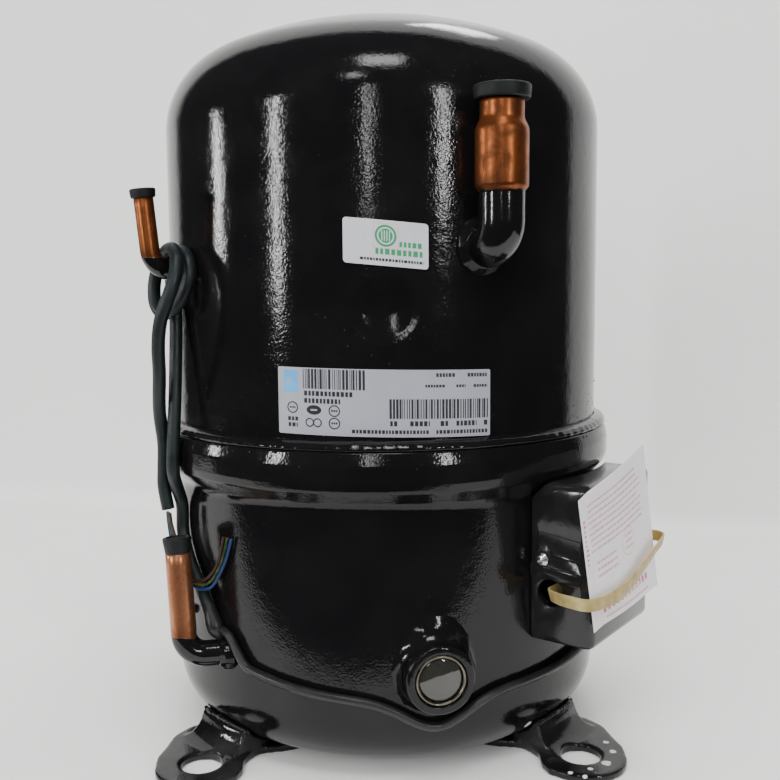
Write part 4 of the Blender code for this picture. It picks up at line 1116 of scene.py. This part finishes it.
# ================================================================ carried-over inner parts
IRON = casting("grey_cast_iron", (0.16, 0.16, 0.17))
ALLOY = casting("die_cast_alloy", (0.60, 0.60, 0.62), 0.42, 1.0)
SPRING = metal("spring_wire", (0.42, 0.42, 0.44), 0.34, per_mm=1.4)
INNER_COPPER = metal("inner_copper", (0.50, 0.19, 0.08), 0.33, stain=(0.6, 0.5, 0.5))


def stacked_look():
    """Half-millimetre sheets stacked upwards."""
    k = Look("lamination_stack", (0.25, 0.25, 0.27), 0.45, 0.9)
    edge = k.math("FRACT", k.math("MULTIPLY", k.axis(2), 2.0))
    k.set("Base Color", k.mix(k.math("LESS_THAN", edge, 0.2), (0.26, 0.26, 0.28), (0.06, 0.06, 0.065)))
    k.set("Normal", k.bump(edge, 0.05))
    return k.m


def winding_look():
    """Enamelled wire laid round the core, as wavy bands of lighter and darker copper."""
    k = Look("enamelled_winding", (0.42, 0.16, 0.05), 0.35, 0.4)
    wave = k.node("ShaderNodeTexWave", {"Vector": k.stretched(1, 1, 1), "Scale": 0.32, "Distortion": 3.0,
                                        "Detail": 2.0,
                                        "Detail Scale": 0.3}, bands_direction="Z").outputs["Fac"]
    k.set("Base Color", k.mix(wave, (0.20, 0.065, 0.02), (0.56, 0.24, 0.08)))
    k.set("Normal", k.bump(wave, 0.5))
    return k.m


STACK, WINDING = stacked_look(), winding_look()
FIBRE = plain("gasket_fibre_look", (0.12, 0.14, 0.13), 0.85, 1.8, 0.08, 0.7)
BY_SLOT = {"machined_steel": STEEL, "grey_iron": IRON, "cast_aluminium": ALLOY, "laminations": STACK,
           "winding_enamel": WINDING, "gasket_fibre": FIBRE, "copper": INNER_COPPER,
           "black_gloss_paint": PAINT_SMALL, "zinc_plate": ZINC}
SLOTS = {row["node"]: row["material_slot"] for row in frame["record"]["subparts"]}
for node_name, ob in NODES.items():
    if not ob.hide_render and not ob.get("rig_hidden"):
        coil = node_name.startswith("spring_") and "post" not in node_name
        look = SPRING if coil else BY_SLOT.get(SLOTS.get(node_name))
        if look:
            ob.data.materials.clear()
            ob.data.materials.append(look)

# ================================================================ stage and light
room = bpy.data.worlds.new("room")
bpy.context.scene.world = room
room.use_nodes = True
room.node_tree.nodes["Background"].inputs["Color"].default_value = (0.93, 0.94, 1.0, 1.0)
room.node_tree.nodes["Background"].inputs["Strength"].default_value = 0.06


def pale(name, color, rough):
    k = Look(name, color, rough)
    k.set("Base Color", k.mix(k.span(k.noise(0.01, 4.0), 0.3, 0.7), color, tuple(c * 0.97 for c in color)))
    k.set("Normal", k.bump(k.noise(0.5, 2.0), 0.02))
    return k.m


def sweep_stage():
    """Floor, a soft crease and a wall, turned a little to the view."""
    bm = bmesh.new()
    rows = [(-0.27, -0.04), (-0.262, -0.004), (-0.25, 0.0),
            (0.0, 0.0)] + [(0.405 + x, z) for x, z in arc(0.0, 0.02, 0.02, -90, 0, 8)] + [(0.425, 2.2)]
    skew = Matrix.Rotation(math.radians(-15), 4, "Z")
    lines = [[bm.verts.new(skew @ Vector((x, y, z - 0.0002))) for x in (-1.0, 0.75)] for y, z in rows]
    for a, b in zip(lines, lines[1:]):
        bm.faces.new((a[0], a[1], b[1], b[0]))
    me = bpy.data.meshes.new("studio_sweep")
    bm.to_mesh(me)
    bm.free()
    me.shade_smooth()
    ob = bpy.data.objects.new("studio_sweep", me)
    bpy.context.scene.collection.objects.link(ob)
    ob.data.materials.append(pale("studio_white", (0.86, 0.855, 0.85), 0.55))


sweep_stage()


def lamp(name, where, target, size, power, color=(1, 1, 1), shows=True):
    d = bpy.data.lights.new(name, "AREA")
    d.shape, d.size, d.size_y = "RECTANGLE", size[0], size[1]
    d.energy, d.color = power, color
    ob = bpy.data.objects.new(name, d)
    ob.location = where
    ob.rotation_euler = (Vector(target) - Vector(where)).to_track_quat("-Z", "Y").to_euler()
    ob.visible_glossy = shows
    bpy.context.scene.collection.objects.link(ob)
    return ob


lamp("ceiling_fill", (0.0, -0.3, 2.0), (0, 0, 0), (2.6, 2.6), 71, (1.0, 0.99, 0.97), False)
lamp("front_fill", (-0.9, -1.9, 1.1), (0, 0, 0.2), (1.4, 1.4), 28, (1.0, 0.99, 0.98), False)


def window_strip(name, az, lo, hi, wide, glow, reach=2.2):
    """A tall narrow light seen mirrored in the shell, between two heights as seen from its middle."""
    z0, z1 = 0.27 + reach * math.tan(math.radians(lo)), 0.27 + reach * math.tan(math.radians(hi))
    p = at(az, reach, 0)
    lamp(name, (p.x, p.y, (z0 + z1) / 2), (0, 0, 0.27), (wide, z1 - z0), glow * wide * (z1 - z0))


window_strip("strip_left", -91, 1, 11.5, 0.075, 240)
window_strip("strip_mid_left", -54.5, -2, 18, 0.075, 220)
window_strip("strip_mid", -8.5, 5, 26, 0.045, 110)
window_strip("strip_mid_right", 28, 4, 25, 0.05, 230)


def sky_patch(name, az, el, reach, wide, tall, glow):
    """A pale patch mirrored in the dome."""
    d = at(az, math.cos(math.radians(el)), math.sin(math.radians(el)))
    lamp(name, Vector((0, 0, 0.34)) + d * reach, (0, 0, 0.34), (wide, tall), glow * wide * tall)


sky_patch("patch_front", -2, 56, 2.0, 0.58, 0.42, 40)
sky_patch("patch_small", -16, 37, 2.0, 0.20, 0.12, 60)
sky_patch("patch_back", 146, 58, 0.62, 0.22, 0.12, 45)
